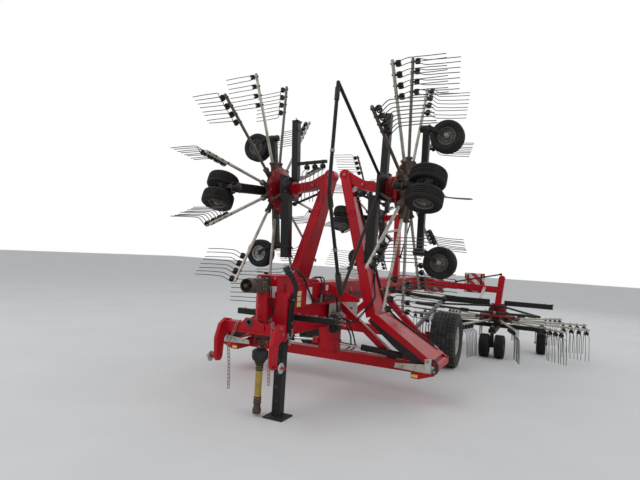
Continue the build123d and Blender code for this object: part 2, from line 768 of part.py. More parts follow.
def latch_levers():
    half = boom_foot_depth / 2 + joint_gap + 20
    y = carrier_y - half
    pieces = []
    for side in (-1, 1):
        p = side * front_pivot_x
        pieces.append(plate_xz([(p + side * 30, front_pivot_z + 40), (p - side * 30, front_pivot_z + 60),
                                (p - side * 420, front_pivot_z + 25), (p - side * 430, front_pivot_z - 25),
                                (p - side * 20, front_pivot_z - 40), (p + side * 40, front_pivot_z - 20)],
                               y - 12, y))
    return Compound(pieces)


def warning_boards():
    y = beam_rear_y()
    pieces = []
    for side in (-1, 1):
        pieces.append(block(side * 200, side * 600, y + 60, y + 64, 1010, 1290))
    bar_piece = block(-560, 560, y, y + 60, 1130, 1180)
    return pieces[0] + pieces[1] + bar_piece


def build():
    nodes = {
        "main_beam": main_beam(),
        "wing_carrier": wing_carrier(),
        "headstock_gearbox": headstock_gearbox(),
        "cross_bar": cross_bar(),
        "latch_levers": latch_levers(),
        "rear_axle": rear_axle(),
        "knuckle_left": knuckle(1),
        "knuckle_right": knuckle(-1),
        "transport_wheel_left": transport_wheel(1),
        "transport_wheel_right": transport_wheel(-1),
        "hitch_yoke": hitch_yoke(),
        "pto_shaft": pto_shaft(),
        "parking_leg": parking_leg(),
        "warning_boards": warning_boards(),
    }
    for wing in wings:
        nodes.update(wing_nodes(wing))
        if wing.kind == "front":
            for name, shape in (("rod", cylinder_rods()), ("barrel", cylinder_barrels())):
                nodes[wing.name + "_cylinder_" + name] = mirror(shape, about=Plane.YZ) if wing.side < 0 else shape
    return nodes


def origin_shift(nodes):
    # From the machine's centre line to the middle of its outline on the ground.
    box = Compound(list(nodes.values())).bounding_box()
    return (-round((box.min.X + box.max.X) / 2, 3), -round((box.min.Y + box.max.Y) / 2, 3), -round(box.min.Z, 3))


def main():
    os.makedirs("parts", exist_ok=True)
    nodes = build()
    shift = Pos(*origin_shift(nodes))
    for name, shape in nodes.items():
        export_step(shift * shape, "parts/" + name + ".step")


if __name__ == "__main__":
    main()
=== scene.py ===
import random
from collections import namedtuple
from math import cos, pi, radians, sin, tau

import bpy
from mathutils import Matrix, Vector


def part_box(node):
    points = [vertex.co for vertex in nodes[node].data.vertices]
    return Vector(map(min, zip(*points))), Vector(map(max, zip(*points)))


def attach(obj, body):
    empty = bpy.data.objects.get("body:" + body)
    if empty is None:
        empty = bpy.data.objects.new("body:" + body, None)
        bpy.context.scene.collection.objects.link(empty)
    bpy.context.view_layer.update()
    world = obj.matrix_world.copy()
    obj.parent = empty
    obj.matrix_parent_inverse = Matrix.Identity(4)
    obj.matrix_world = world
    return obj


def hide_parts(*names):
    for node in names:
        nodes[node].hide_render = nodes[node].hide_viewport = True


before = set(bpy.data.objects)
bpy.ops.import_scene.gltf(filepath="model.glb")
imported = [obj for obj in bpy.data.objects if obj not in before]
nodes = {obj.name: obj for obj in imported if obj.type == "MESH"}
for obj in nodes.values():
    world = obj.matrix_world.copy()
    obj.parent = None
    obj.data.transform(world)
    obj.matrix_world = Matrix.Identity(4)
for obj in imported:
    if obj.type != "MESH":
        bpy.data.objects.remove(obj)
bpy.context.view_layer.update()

# Places
AXLE_Y = 2.0
wheel_corners = [c for side in ("left", "right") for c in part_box("transport_wheel_" + side)]
SHIFT = sum(wheel_corners, Vector()) / 4 - Vector((0, AXLE_Y, 0))
SHIFT.z = 0
MACHINE = Matrix.Translation(SHIFT)

# Fold in degrees, angle of the first arm, arms that aren't there, lowered or folded, with a guard
Wing = namedtuple("Wing", "name side kind fold first_arm missing lowered guard")
WINGS = [
    Wing("front_left", 1, "front", 88.5, -7.8, (9,), False, True),
    Wing("front_right", -1, "front", 87, 7.9, (), False, False),
    Wing("rear_left", 1, "rear", 90, 15, (), True, True),
    Wing("rear_right", -1, "rear", 90, 15, (0, 11), False, False),
]
FRONT_HUB = (0.88, 0, 2.51)
REAR_HUB = (0.89, 0, 2.51)
REAR_PIVOT = Vector((0.37, 0, 1.2))
REAR_Y = 4.1
BOOM_FOOT = Vector((1.43, 0, 0.42))
BOOM_BEND = Vector((0.634, 0, 0.92))
BOOM_TIP = Vector((0.11, 0, 2.7))
BOOM_KNEE = Vector((0.36, 0, 2.57))
BOOM_SIDE = 0.0625

# Rotor and its running gear, from the dish
CARRIAGE_TURN = 4.6
ARM_DROP = 0.06
ARM_TIP = 1.59
COIL_R = 0.027
COIL_DROP = 0.062
WIRE_R = 0.005
DISH_ABOVE = 0.68
SMALL_R = 0.205
SMALL_W = 0.165
CROSS_HALF = 0.78
CROSS_Y = 0.19
TWIN_Y = -0.805
TWIN_HALF = 0.128
TWIN_TRAIL = 0.055
TWIN_TURN = 28
BEAM_LEVEL = -0.21
POST_Z = 0.205
GUARD_Z = 0.203
LOCK_BAR = ((-0.251, -0.071, 0.51), (-0.33, -0.229, 0.25))
FORK_TRAIL = 0.11

# Road wheels, beam and head
TYRE_R = 0.425
TYRE_W = 0.39
TREAD_HALF = 0.178
TRACK_HALF = 1.13
BEAM_HALF = 0.13
BEAM_LOW = 1.045
BEAM_TOP = 1.31
EAR_FRONT = -0.368
HEAD_Y = -1.7
HEAD_FACE = -1.64
GEAR_FRONT = -1.925
GEAR_Z = 1.305

# Hitch, drive shaft and leg
YOKE_Y = -1.85
LINK_Y = -1.96
LINK_Z = 0.58
PTO_Y = -1.69
PTO_TOP = 0.775
JOINT_Z = PTO_TOP - 0.035
LEG_X = 0.19
LEG_Y = -1.6
LEG_HALF = 0.045
PLATE_X = 0.1419
BOARD_Y = 4.212

# Turns an outline's X and Y to the machine's Y and Z
YZ = Matrix(((0, 0, 1, 0), (1, 0, 0, 0), (0, 1, 0, 0), (0, 0, 0, 1)))


def move(x, y, z):
    return Matrix.Translation((x, y, z))


def turn(axis, degrees):
    return Matrix.Rotation(radians(degrees), 4, axis)


def facing_x(side, x, y, z):
    # Place on a wall that looks to the side.
    return move(x, y, z) @ turn("Y", 90 * side)


def facing_front(x, y, z):
    return move(x, y, z) @ turn("X", 90)


def side_matrix(w):
    return MACHINE @ Matrix.Diagonal((w.side, 1, 1, 1))


def wing_matrix(w, turned=False):
    # The rotor's own frame: origin at the dish, Z along its axis, X outward when lowered.
    m = move(*(FRONT_HUB if w.kind == "front" else REAR_HUB)) @ turn("Y", -w.fold)
    if turned and not w.lowered:
        m = m @ turn("Z", -CARRIAGE_TURN)
    if w.lowered:
        m = Matrix.Translation(REAR_PIVOT) @ turn("Y", w.fold) @ Matrix.Translation(-REAR_PIVOT) @ m
    if w.kind == "rear":
        m = move(0, REAR_Y, 0) @ m
    if w.side < 0:
        m = Matrix.Diagonal((-1, 1, 1, 1)) @ m
    return MACHINE @ m


def castor_places(w):
    # Name and swivel frame of the two castors at the ends of the cross tube.
    swing = 0 if w.lowered else 90 + CARRIAGE_TURN
    return [(name, move(end * CROSS_HALF, CROSS_Y, 0) @ turn("Z", swing)) for name,
            end in (("outer", 1), ("inner", -1))]


# Outlines and runs
def mm(*points):
    # Points written in millimetres.
    return [tuple(v / 1000 for v in p) for p in points]


def circle(r, n):
    return [(r * cos(tau * i / n), r * sin(tau * i / n)) for i in range(n)]


def area(outline):
    # Twice the signed area, positive when counter-clockwise.
    return sum(a[0] * b[1] - b[0] * a[1] for a, b in zip(outline, outline[1:] + outline[:1]))


def shrink(outline, by):
    out = []
    for i, corner in enumerate(outline):
        p0, p, p1 = Vector(outline[i - 1]), Vector(corner), Vector(outline[(i + 1) % len(outline)])
        a, b = (p - p0).normalized(), (p1 - p).normalized()
        m = Vector((-a.y - b.y, a.x + b.x))
        k = by / max(0.3, m.length_squared / 2) if m.length > 1e-6 else 0
        out.append(tuple(p + m * k))
    return out


def fillet(points, radius, steps=3):
    # Rounds the corners of a run of points.
    pts = [Vector(p) for p in points]
    out = [pts[0]]
    for a, b, c in zip(pts, pts[1:], pts[2:]):
        u, v = (a - b), (c - b)
        r = min(radius, u.length * 0.45, v.length * 0.45)
        p, q = b + u.normalized() * r, b + v.normalized() * r
        for k in range(steps + 1):
            t = k / steps
            out.append(p * (1 - t) ** 2 + b * (2 * t * (1 - t)) + q * t ** 2)
    out.append(pts[-1])
    return out


def look(start, end, roll=(0, 0, 1)):
    # Matrix with its Z axis along the run from start to end, origin at start.
    a, b = Vector(start), Vector(end)
    z = (b - a).normalized()
    x = Vector(roll) - z * Vector(roll).dot(z)
    x = x.normalized() if x.length > 1e-4 else z.orthogonal().normalized()
    y = z.cross(x)
    return Matrix(((x.x, y.x, z.x, a.x), (x.y, y.y, z.y, a.y), (x.z, y.z, z.z, a.z), (0, 0, 0, 1)))


def bands(rows, n):
    # Faces between rows of n vertices, each row a ring.
    return [(k * n + i, k * n + (i + 1) % n, (k + 1) * n + (i + 1) % n, (k + 1) * n + i)
            for k in range(rows - 1) for i in range(n)]


def closed_bands(rows, n):
    return bands(rows, n) + [tuple(reversed(range(n))), tuple(range((rows - 1) * n, rows * n))]


# Mesh kit
class Kit:
    """Gathers faces with a material number each and makes one mesh object."""

    def __init__(self, matrix=MACHINE):
        self.verts, self.faces, self.mats = [], [], []
        self.matrix = matrix

    def add(self, verts, faces, mat=0, at=None):
        m = self.matrix @ at if at is not None else self.matrix
        base = len(self.verts)
        self.verts += [m @ Vector(v) for v in verts]
        flip = m.determinant() < 0
        for f in faces:
            f = [base + i for i in f]
            self.faces.append(f[::-1] if flip else f)
            self.mats.append(mat)

    def lathe(self, profile, mat=0, at=None, seg=32, shell=False):
        # profile: (radius, height along Z); a shell is open and faces up along Z.
        if profile[-1][0] > profile[0][0] if shell else area(profile) < 0:
            profile = profile[::-1]
        verts, rings = [], []
        for r, z in profile:
            n = seg if r >= 1e-6 else 1
            rings.append(range(len(verts), len(verts) + n))
            verts += [(x, y, z) for x, y in (circle(r, seg) if n > 1 else [(0, 0)])]
        faces = []
        for a, b in zip(rings, rings[1:]):
            for i in range(seg):
                j = (i + 1) % seg
                if len(a) == 1 and len(b) > 1:
                    faces.append((a[0], b[j], b[i]))
                elif len(b) == 1 and len(a) > 1:
                    faces.append((a[i], a[j], b[0]))
                elif len(a) > 1:
                    faces.append((a[i], a[j], b[j], b[i]))
        self.add(verts, faces, mat, at)

    def cap(self, r, h, inward, down, mat, at, seg):
        # Round cap with a chamfered rim, in millimetres.
        self.lathe(mm((0, h), (r - inward, h), (r, h - down), (r, 0), (0, 0)), mat, at, seg)

    def tube(self, points, radius, mat=0, at=None, sides=8):
        pts = [Vector(p) for p in points]
        radii = radius if isinstance(radius, (list, tuple)) else [radius] * len(pts)
        tangent = [(b - a).normalized() for a, b in zip(pts, pts[1:])]
        dirs = [tangent[0]] + [(a + b).normalized() for a, b in zip(tangent, tangent[1:])] + [tangent[-1]]
        side = dirs[0].orthogonal().normalized()
        verts = []
        for p, d, r in zip(pts, dirs, radii):
            side = (side - d * side.dot(d)).normalized()
            up = d.cross(side)
            verts += [p + side * x + up * y for x, y in circle(r, sides)]
        self.add(verts, closed_bands(len(pts), sides), mat, at)

    def slab(self, outline, z0, z1, mat=0, at=None, bevel=0.0):
        # Prism along Z over an outline, with chamfered edges.
        if area(outline) < 0:
            outline = outline[::-1]
        levels = [(z0, outline), (z1, outline)]
        if bevel:
            inner = shrink(outline, bevel)
            levels = [(z0, inner), (z0 + bevel, outline), (z1 - bevel, outline), (z1, inner)]
        verts = [(x, y, z) for z, ring in levels for x, y in ring]
        self.add(verts, closed_bands(len(levels), len(outline)), mat, at)

    def block(self, x0, x1, y0, y1, z0, z1, mat=0, at=None, bevel=0.003):
        x0, x1 = sorted((x0, x1))
        y0, y1 = sorted((y0, y1))
        z0, z1 = sorted((z0, z1))
        self.slab([(x0, y0), (x1, y0), (x1, y1), (x0, y1)], z0, z1, mat, at, bevel)

    def bolt(self, at, size=0.012, mat=0, washer=True):
        # Hexagon head on a washer, standing on the XY plane of "at".
        thick = size * 0.14
        if washer:
            self.lathe([(0, 0), (size * 1.25, 0), (size * 1.25, thick), (0, thick)], mat, at, 12)
        self.slab(circle(size, 6), size * 0.1, thick + size * 0.62, mat, at, size * 0.1)

    def make(self, name, materials, body, replaces=None):
        mesh = bpy.data.meshes.new(name)
        mesh.from_pydata(self.verts, [], self.faces)
        for m in materials:
            mesh.materials.append(m)
        mesh.polygons.foreach_set("material_index", self.mats)
        mesh.validate()
        mesh.shade_smooth()
        mesh.set_sharp_from_angle(angle=radians(32))
        obj = bpy.data.objects.new(name, mesh)
        bpy.context.scene.collection.objects.link(obj)
        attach(obj, body)
        if replaces:
            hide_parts(replaces)


# Materials
class Mat:
    """A principled material with noise driven colour, roughness and bump."""

    def __init__(self, name):
        self.m = bpy.data.materials.new(name)
        self.m.use_nodes = True
        self.t = self.m.node_tree
        self.p = self.t.nodes["Principled BSDF"]
        self.coord = self.new("TexCoord").outputs["Object"]
        self.normal = self.new("NewGeometry").outputs["Normal"]
        self.rounded = None

    def new(self, kind):
        return self.t.nodes.new("ShaderNode" + kind)

    def feed(self, socket, v):
        if isinstance(v, bpy.types.NodeSocket):
            self.t.links.new(v, socket)
        else:
            socket.default_value = (*v, 1) if socket.type == "RGBA" else v

    def node(self, kind, **inputs):
        # An input is given by its name, or by its number after an underscore.
        n = self.new(kind)
        for k, v in inputs.items():
            self.feed(n.inputs[int(k[1:]) if k[0] == "_" else k], v)
        return n

    def noise(self, scale, detail=4, rough=0.55, stretch=None, lo=0.35, hi=0.65):
        vec = self.node("Mapping", Vector=self.coord, Scale=stretch).outputs[0] if stretch else self.coord
        n = self.node("TexNoise", Vector=vec, Scale=scale, Detail=detail, Roughness=rough)
        return self.ramp(n.outputs["Fac"], lo, hi)

    def ramp(self, fac, lo, hi, out0=0.0, out1=1.0):
        return self.node("MapRange", Value=fac, _1=lo, _2=hi, _3=out0, _4=out1).outputs[0]

    def calc(self, op, a, b, clamp=True):
        n = self.node("Math", _0=a, _1=b)
        n.operation = op
        n.use_clamp = clamp
        return n.outputs[0]

    def mul(self, a, b):
        return self.calc("MULTIPLY", a, b)

    def mix(self, fac, a, b):
        n = self.new("Mix")
        n.data_type = "RGBA"
        for i, v in ((0, fac), (6, a), (7, b)):
            self.feed(n.inputs[i], v)
        return n.outputs[2]

    def along(self, vector, axis):
        return self.node("SeparateXYZ", Vector=vector).outputs[axis]

    def edges(self, radius=0.006):
        # Where the rounded normal leaves the true one. The rounded normal is kept for the bump.
        bevel = self.node("Bevel", Radius=radius)
        bevel.samples = 4
        self.rounded = bevel.outputs[0]
        dot = self.node("VectorMath", _0=self.rounded, _1=self.normal)
        dot.operation = "DOT_PRODUCT"
        return self.ramp(dot.outputs["Value"], 0.75, 0.98, 1.0, 0.0)

    def finish(self, colour, rough, bump=None, strength=0.2, distance=0.002, metallic=0.0, coat=0.0,
               spec=0.5):
        for key, v in (("Base Color", colour), ("Roughness", rough), ("Metallic", metallic),
                       ("Coat Weight", coat), ("Coat Roughness", 0.12), ("Specular IOR Level", spec)):
            self.feed(self.p.inputs[key], v)
        if bump is not None:
            b = self.node("Bump", Height=bump, Strength=strength, Distance=distance)
            if self.rounded is not None:
                self.feed(b.inputs["Normal"], self.rounded)
            self.feed(self.p.inputs["Normal"], b.outputs[0])
        return self.m


def painted(name, colour, dark, dust, dust_amount, rough, chips=(0.16, 0.09, 0.06), low_dirt=0.0, coat=0.0,
            spec=0.5):
    m = Mat(name)
    edge = m.edges()
    fine = m.noise(26, 6, 0.7, lo=0.35, hi=0.7)
    base = m.mix(m.noise(1.7, 5, 0.6, lo=0.3, hi=0.75), colour, dark)
    streak = m.noise(9, 5, 0.65, stretch=(3.5, 3.5, 0.5), lo=0.5, hi=0.8)
    base = m.mix(m.mul(streak, 0.35), base, dark)
    upward = m.ramp(m.along(m.normal, 2), 0.25, 0.95)
    grime = m.mul(upward, m.noise(6, 6, 0.7, lo=0.3, hi=0.7))
    speck = m.mul(m.noise(70, 3, 0.6, lo=0.58, hi=0.72), m.noise(4, 4, 0.6, lo=0.45, hi=0.7))
    grime = m.calc("ADD", m.mul(grime, dust_amount), m.mul(speck, dust_amount * 0.8))
    if low_dirt:
        low = m.ramp(m.along(m.coord, 2), 0.25, 1.2, 1.0, 0.0)
        near = m.mul(low, m.noise(11, 6, 0.7, lo=0.4, hi=0.75))
        grime = m.calc("ADD", grime, m.mul(near, low_dirt))
    worn = m.mul(m.mul(edge, m.noise(45, 4, 0.7, lo=0.45, hi=0.6)), 0.6)
    col = m.mix(worn, m.mix(grime, base, dust), chips)
    r = m.ramp(m.calc("ADD", grime, m.mul(fine, 0.25)), 0.0, 1.0, rough, 0.85)
    return m.finish(col, r, fine, 0.12, 0.001, 0.0, coat, spec)


def galvanised(name, colour, dark, rust=0.3):
    m = Mat(name)
    edge = m.edges(0.004)
    flakes = m.node("TexVoronoi", Vector=m.coord, Scale=55.0)
    base = m.mix(m.ramp(flakes.outputs["Distance"], 0.0, 0.7), colour, dark)
    stain = m.noise(5, 6, 0.7, lo=0.48, hi=0.72)
    base = m.mix(m.mul(stain, 0.75), base, (0.14, 0.1, 0.07))
    spots = m.mul(m.noise(38, 5, 0.7, lo=0.56, hi=0.68), rust)
    base = m.mix(spots, base, (0.16, 0.07, 0.03))
    base = m.mix(m.mul(edge, 0.35), base, (0.66, 0.65, 0.6))
    r = m.ramp(stain, 0, 1, 0.42, 0.8)
    return m.finish(base, r, m.noise(60, 4, 0.6, lo=0.3, hi=0.7), 0.15, 0.0008, 0.35)


def rubber(name, colour, dust, dust_amount, rough=0.62):
    m = Mat(name)
    cloud = m.noise(7, 6, 0.65, lo=0.4, hi=0.75)
    fine = m.noise(90, 4, 0.6, lo=0.3, hi=0.7)
    dirt = m.mul(m.mul(cloud, fine), dust_amount)
    dirt = m.calc("ADD", dirt, m.mul(cloud, dust_amount * 0.35))
    return m.finish(m.mix(dirt, colour, dust), m.ramp(dirt, 0, 1, rough, 0.9), fine, 0.3, 0.001, spec=0.2)


def plain(name, colour, vary, rough, metallic=0.0, dust=0.35, spec=0.5):
    m = Mat(name)
    grime = m.mul(m.noise(5, 6, 0.7, lo=0.45, hi=0.75), dust)
    col = m.mix(grime, m.mix(m.noise(14, 5, 0.6), colour, vary), (0.16, 0.13, 0.1))
    r = m.ramp(grime, 0, 1, rough, min(1, rough + 0.4))
    return m.finish(col, r, m.noise(80, 3, 0.6), 0.1, 0.0008, metallic, spec=spec)


def striped(name):
    # Diagonal stripes across X and Z.
    m = Mat(name)
    diagonal = m.calc("ADD", m.along(m.coord, 0), m.along(m.coord, 2), False)
    band = m.ramp(m.calc("PINGPONG", diagonal, 0.1, False), 0.0495, 0.0505)
    col = m.mix(band, (0.56, 0.02, 0.02), (0.74, 0.74, 0.71))
    col = m.mix(m.mul(m.noise(6, 6, 0.7, lo=0.45, hi=0.8), 0.4), col, (0.2, 0.17, 0.13))
    return m.finish(col, 0.42, m.noise(70, 3), 0.05, 0.0005)


RED = painted("red_paint", (0.55, 0.0035, 0.016), (0.34, 0.002, 0.01), (0.17, 0.06, 0.045), 0.24, 0.3,
              low_dirt=0.14, coat=0.06, spec=0.2)
RED_OLD = painted("red_paint_dusty", (0.38, 0.006, 0.014), (0.2, 0.005, 0.01), (0.13, 0.065, 0.045), 0.7,
                  0.42, low_dirt=0.25, coat=0.05, spec=0.25)
BLACK = painted("black_paint", (0.012, 0.012, 0.014), (0.02, 0.019, 0.018), (0.07, 0.056, 0.043), 0.4, 0.42,
                (0.13, 0.1, 0.08), spec=0.2)
BROWN = painted("dusty_casting", (0.085, 0.052, 0.036), (0.04, 0.026, 0.019), (0.2, 0.15, 0.11), 0.7, 0.7,
                (0.15, 0.1, 0.07))
SPRING = painted("tine_wire", (0.055, 0.05, 0.046), (0.095, 0.085, 0.072), (0.16, 0.12, 0.09), 0.5, 0.42,
                 (0.3, 0.28, 0.25), spec=0.3)
COIL = painted("coil_black", (0.01, 0.01, 0.011), (0.016, 0.015, 0.014), (0.07, 0.055, 0.045), 0.4, 0.4,
               spec=0.25)
ZINC = galvanised("galvanised_steel", (0.58, 0.55, 0.47), (0.42, 0.4, 0.35))
ZINC_GREY = galvanised("zinc_plate", (0.62, 0.61, 0.57), (0.48, 0.47, 0.44), 0.2)
# Darker copy of the galvanised steel, painted shade for arms seen from their unlit underside, with some extra
# rust.
ZINC_SHADED = galvanised("weathered_steel", (0.17, 0.145, 0.115), (0.085, 0.07, 0.055), 0.6)
BOLT = galvanised("bolt_zinc", (0.36, 0.34, 0.3), (0.22, 0.2, 0.18), 0.5)
TYRE = rubber("tyre_rubber", (0.009, 0.009, 0.01), (0.06, 0.054, 0.046), 0.5)
ROAD = rubber("road_tyre_rubber", (0.02, 0.021, 0.022), (0.12, 0.115, 0.1), 0.75)
HOSE = rubber("hose_rubber", (0.012, 0.012, 0.013), (0.07, 0.06, 0.05), 0.4, 0.45)
YELLOW = plain("guard_tube_yellow", (0.52, 0.36, 0.045), (0.42, 0.28, 0.04), 0.5, dust=0.75)
CHROME = plain("cylinder_rod", (0.62, 0.62, 0.62), (0.55, 0.55, 0.55), 0.14, 1.0, dust=0.2)
RIM = plain("small_rim", (0.075, 0.07, 0.064), (0.12, 0.112, 0.1), 0.5, 0.2, dust=0.7)
RIM_PALE = plain("small_rim_pale", (0.42, 0.42, 0.41), (0.3, 0.3, 0.29), 0.4, 0.4, dust=0.4)
RIM_CREAM = plain("road_rim", (0.55, 0.53, 0.47), (0.44, 0.42, 0.37), 0.5, 0.1, dust=0.6)
STICKER = plain("plain_sticker", (0.86, 0.86, 0.82), (0.78, 0.77, 0.72), 0.45, dust=0.15)
STICKER_YELLOW = plain("yellow_sticker", (0.8, 0.62, 0.08), (0.7, 0.54, 0.08), 0.45, dust=0.15)
STICKER_PALE = plain("pale_yellow_sticker", (0.82, 0.74, 0.36), (0.74, 0.64, 0.3), 0.45, dust=0.15)
DARK_PLASTIC = plain("dark_plastic", (0.016, 0.016, 0.017), (0.028, 0.027, 0.026), 0.45, dust=0.3, spec=0.25)
SLEEVE = plain("ringed_grey_sleeve", (0.27, 0.28, 0.3), (0.2, 0.21, 0.23), 0.5, dust=0.3)
# Near black, painted shade inside holes that are not cut into the mesh.
SHADOW = plain("dark_hole", (0.004, 0.004, 0.004), (0.008, 0.008, 0.008), 0.8, dust=0.1, spec=0.1)
AMBER = plain("amber_reflector", (0.7, 0.22, 0.02), (0.55, 0.14, 0.015), 0.25, dust=0.2)
BOARDS = striped("warning_stripes")

# Finish of a CAD node, by its name or the first of these words in it
FINISH = {
    "cylinder_rod": CHROME, "cylinder_barrel": BLACK,
    "main_beam": RED, "wing_carrier": RED, "headstock_gearbox": BROWN, "cross_bar": BLACK,
    "latch_levers": ZINC, "rear_axle": RED, "knuckle": BLACK, "hitch_yoke": RED, "pto_shaft": YELLOW,
    "parking_leg": BLACK, "warning_boards": BOARDS, "boom": RED, "gearbox": RED_OLD, "carriage": BLACK,
    "fork": BLACK, "guard": BLACK, "wheel": TYRE, "rotor": ZINC,
}
for name, obj in nodes.items():
    found = FINISH.get(name) or next(m for key, m in FINISH.items() if key in name)
    if not obj.data.materials:
        obj.data.materials.append(found)
    for i in range(len(obj.data.materials)):
        obj.data.materials[i] = found


# Rotors
def coil_points(x0, x1, turns, radius, start, steps):
    # Helix along X round the line y = 0, z = 0.
    n = int(turns * steps)
    out = []
    for i in range(n + 1):
        a = start + tau * turns * i / n
        out.append((x0 + (x1 - x0) * i / n, radius * cos(a), radius * sin(a)))
    return out


def tine_pair(kit, r, at, rng):
    # Bracket on the arm, two coils on one line and their cranked wires.
    cz = -COIL_DROP
    kit.block(r - 0.01, r + 0.01, -0.017, 0.017, cz - 0.012, -0.014, 2, at, 0.003)
    kit.tube([(r - 0.016, 0, cz), (r + 0.016, 0, cz)], 0.016, 2, at, 8)
    kit.bolt(at @ move(r, 0, 0.018), 0.011, 1)
    for side in (-1, 1):
        end = r + side * 0.028
        near = r + side * 0.008
        a = radians(-123)
        turns = 3
        pts = coil_points(near, end, turns, COIL_R, a - tau * turns, 9)
        kit.tube([(x, y, z + cz) for x, y, z in pts], 0.0056, 2, at, 5)
        bend = rng.uniform(-0.012, 0.012)
        x1 = end + rng.uniform(-0.006, 0.006)
        run = [(end, COIL_R * cos(a), cz + COIL_R * sin(a)), (end, 0.083, -0.146),
               (x1, 0.098 + bend * 0.5, -0.36), (x1 + bend * 0.4, 0.103 + bend, -0.549)]
        kit.tube(fillet(run, 0.03, 2), WIRE_R, 3, at, 6)


def rotor_arm(kit, at, rng, lit_or_shaded):
    z = -ARM_DROP
    arm = at @ move(0, 0, z)
    along = arm @ turn("Y", 90)
    # Bearing casting with its flange, clamp ring and bolts.
    kit.lathe(mm((0, 205), (50, 205), (50, 236), (40, 244), (34, 262), (33, 372), (40, 378), (41, 402),
              (36, 408), (0, 408)), 1, along, 18)
    for a in (45, 135, 225, 315):
        kit.bolt(along @ turn("Z", a) @ move(0.038, 0, 0.236), 0.008, 2, False)
    kit.block(0.29, 0.345, -0.02, 0.02, 0.025, 0.05, 1, arm, 0.005)
    kit.bolt(arm @ move(0.39, 0, 0.038), 0.011, 2)
    kit.bolt(arm @ move(0.39, 0, -0.038) @ turn("X", 180), 0.011, 2)
    # Tube with a pinched, closed end.
    kit.lathe([(0, 0.4), (0.0192, 0.4), (0.0192, ARM_TIP - 0.006), (0.016, ARM_TIP), (0, ARM_TIP)], lit_or_shaded,
              along, 14)
    for i in range(4):
        tine_pair(kit, 1.185 + i * 0.12, arm, rng)


def rotor(w):
    kit = Kit(wing_matrix(w))
    rng = random.Random(w.name)
    z = -ARM_DROP
    # Hub with a raised ring of cast bosses.
    kit.lathe([(0.063, z - 0.045), (0.21, z - 0.045), (0.238, z - 0.03), (0.24, z + 0.03),
              (0.225, z + 0.045), (0.063, z + 0.045)], 1, None, 48)
    for i in range(12):
        at = turn("Z", w.first_arm + i * 30)
        kit.block(0.15, 0.236, -0.045, 0.045, z - 0.052, z - 0.04, 1, at, 0.004)
        kit.bolt(at @ turn("Z", 15) @ move(0.215, 0, z - 0.043) @ turn("X", 180), 0.01, 2)
        if i not in w.missing:
            # Most arms high on a folded rotor take the darker zinc copy as painted shade of their shadowed
            # side; the others keep the lit zinc.
            high = cos(radians(w.first_arm + i * 30)) > 0.35
            rotor_arm(kit, at, rng, 4 if high and not w.lowered and i % 5 != 1 else 0)
    kit.make(w.name + "_rotor_detail", [ZINC, BROWN, COIL, SPRING, ZINC_SHADED], w.name + "_rotor",
             replaces=w.name + "_rotor")


# Wheels
def small_tyre_profile():
    half = SMALL_W / 2
    ribs = []
    for groove in (-0.036, -0.013, 0.013, 0.036):
        top = SMALL_R - 0.55 * groove * groove
        ribs += [(top, groove - 0.0075), (top - 0.008, groove - 0.004), (top - 0.008, groove + 0.004),
                 (top, groove + 0.0075)]
    side = [(0.11, -half + 0.024), (0.118, -half + 0.013), (0.132, -half + 0.01), (0.134, -half + 0.006),
            (0.152, -half + 0.0015), (0.17, -half), (0.174, -half + 0.002), (0.186, -half + 0.003),
            (0.195, -half + 0.01), (0.2015, -half + 0.022)]
    mirror = [(r, -z) for r, z in reversed(side)]
    return side + ribs + mirror


def small_wheel(kit, at):
    kit.lathe(small_tyre_profile(), 0, at, 44)
    for s in (-1, 1):
        face = at if s > 0 else at @ turn("X", 180)
        # Rim lip, well and dished disc with its nuts and hub.
        kit.lathe(mm((34, 70), (34, 40), (42, 30), (70, 22), (82, 30), (94, 30), (96, 52), (104, 62),
                  (111, 65.5), (113.5, 62), (114.5, 56)), 1, face, 36, True)
        kit.lathe(mm((12.5, 68), (30, 68), (36, 60), (36, 30)), 2, face, 20, True)
        for i in range(5):
            kit.bolt(face @ turn("Z", i * 72 + 20) @ move(0.056, 0, 0.026), 0.0085, 2)
        if s > 0:
            kit.lathe(mm((12, 66), (24, 66.5), (24, 72), (12, 74)), 2, face, 12)
    kit.tube(mm((88, 0, 58), (90, 0, 78)), 0.004, 2, at, 6)


def small_wheels(w):
    turned = wing_matrix(w, True)
    axle_z = SMALL_R - DISH_ABOVE
    for name, place in castor_places(w):
        kit = Kit(turned)
        small_wheel(kit, place @ move(0, FORK_TRAIL, axle_z) @ turn("Y", -90))
        rim = RIM_PALE if (w.name, name) == ("front_right", "inner") else RIM
        kit.make(w.name + "_castor_tyre_" + name, [TYRE, rim, BOLT], w.name + "_castor_" + name,
                 replaces=w.name + "_castor_wheel_" + name)
    kit = Kit(turned)
    for end in (-1, 1):
        at = move(0, TWIN_Y, 0) @ turn("Z", 0 if w.lowered else TWIN_TURN)
        small_wheel(kit, at @ move(end * TWIN_HALF, TWIN_TRAIL, axle_z) @ turn("Y", 90 * end))
    kit.make(w.name + "_twin_tyres", [TYRE, RIM, BOLT], w.name + "_twin_wheels",
             replaces=w.name + "_twin_wheels")


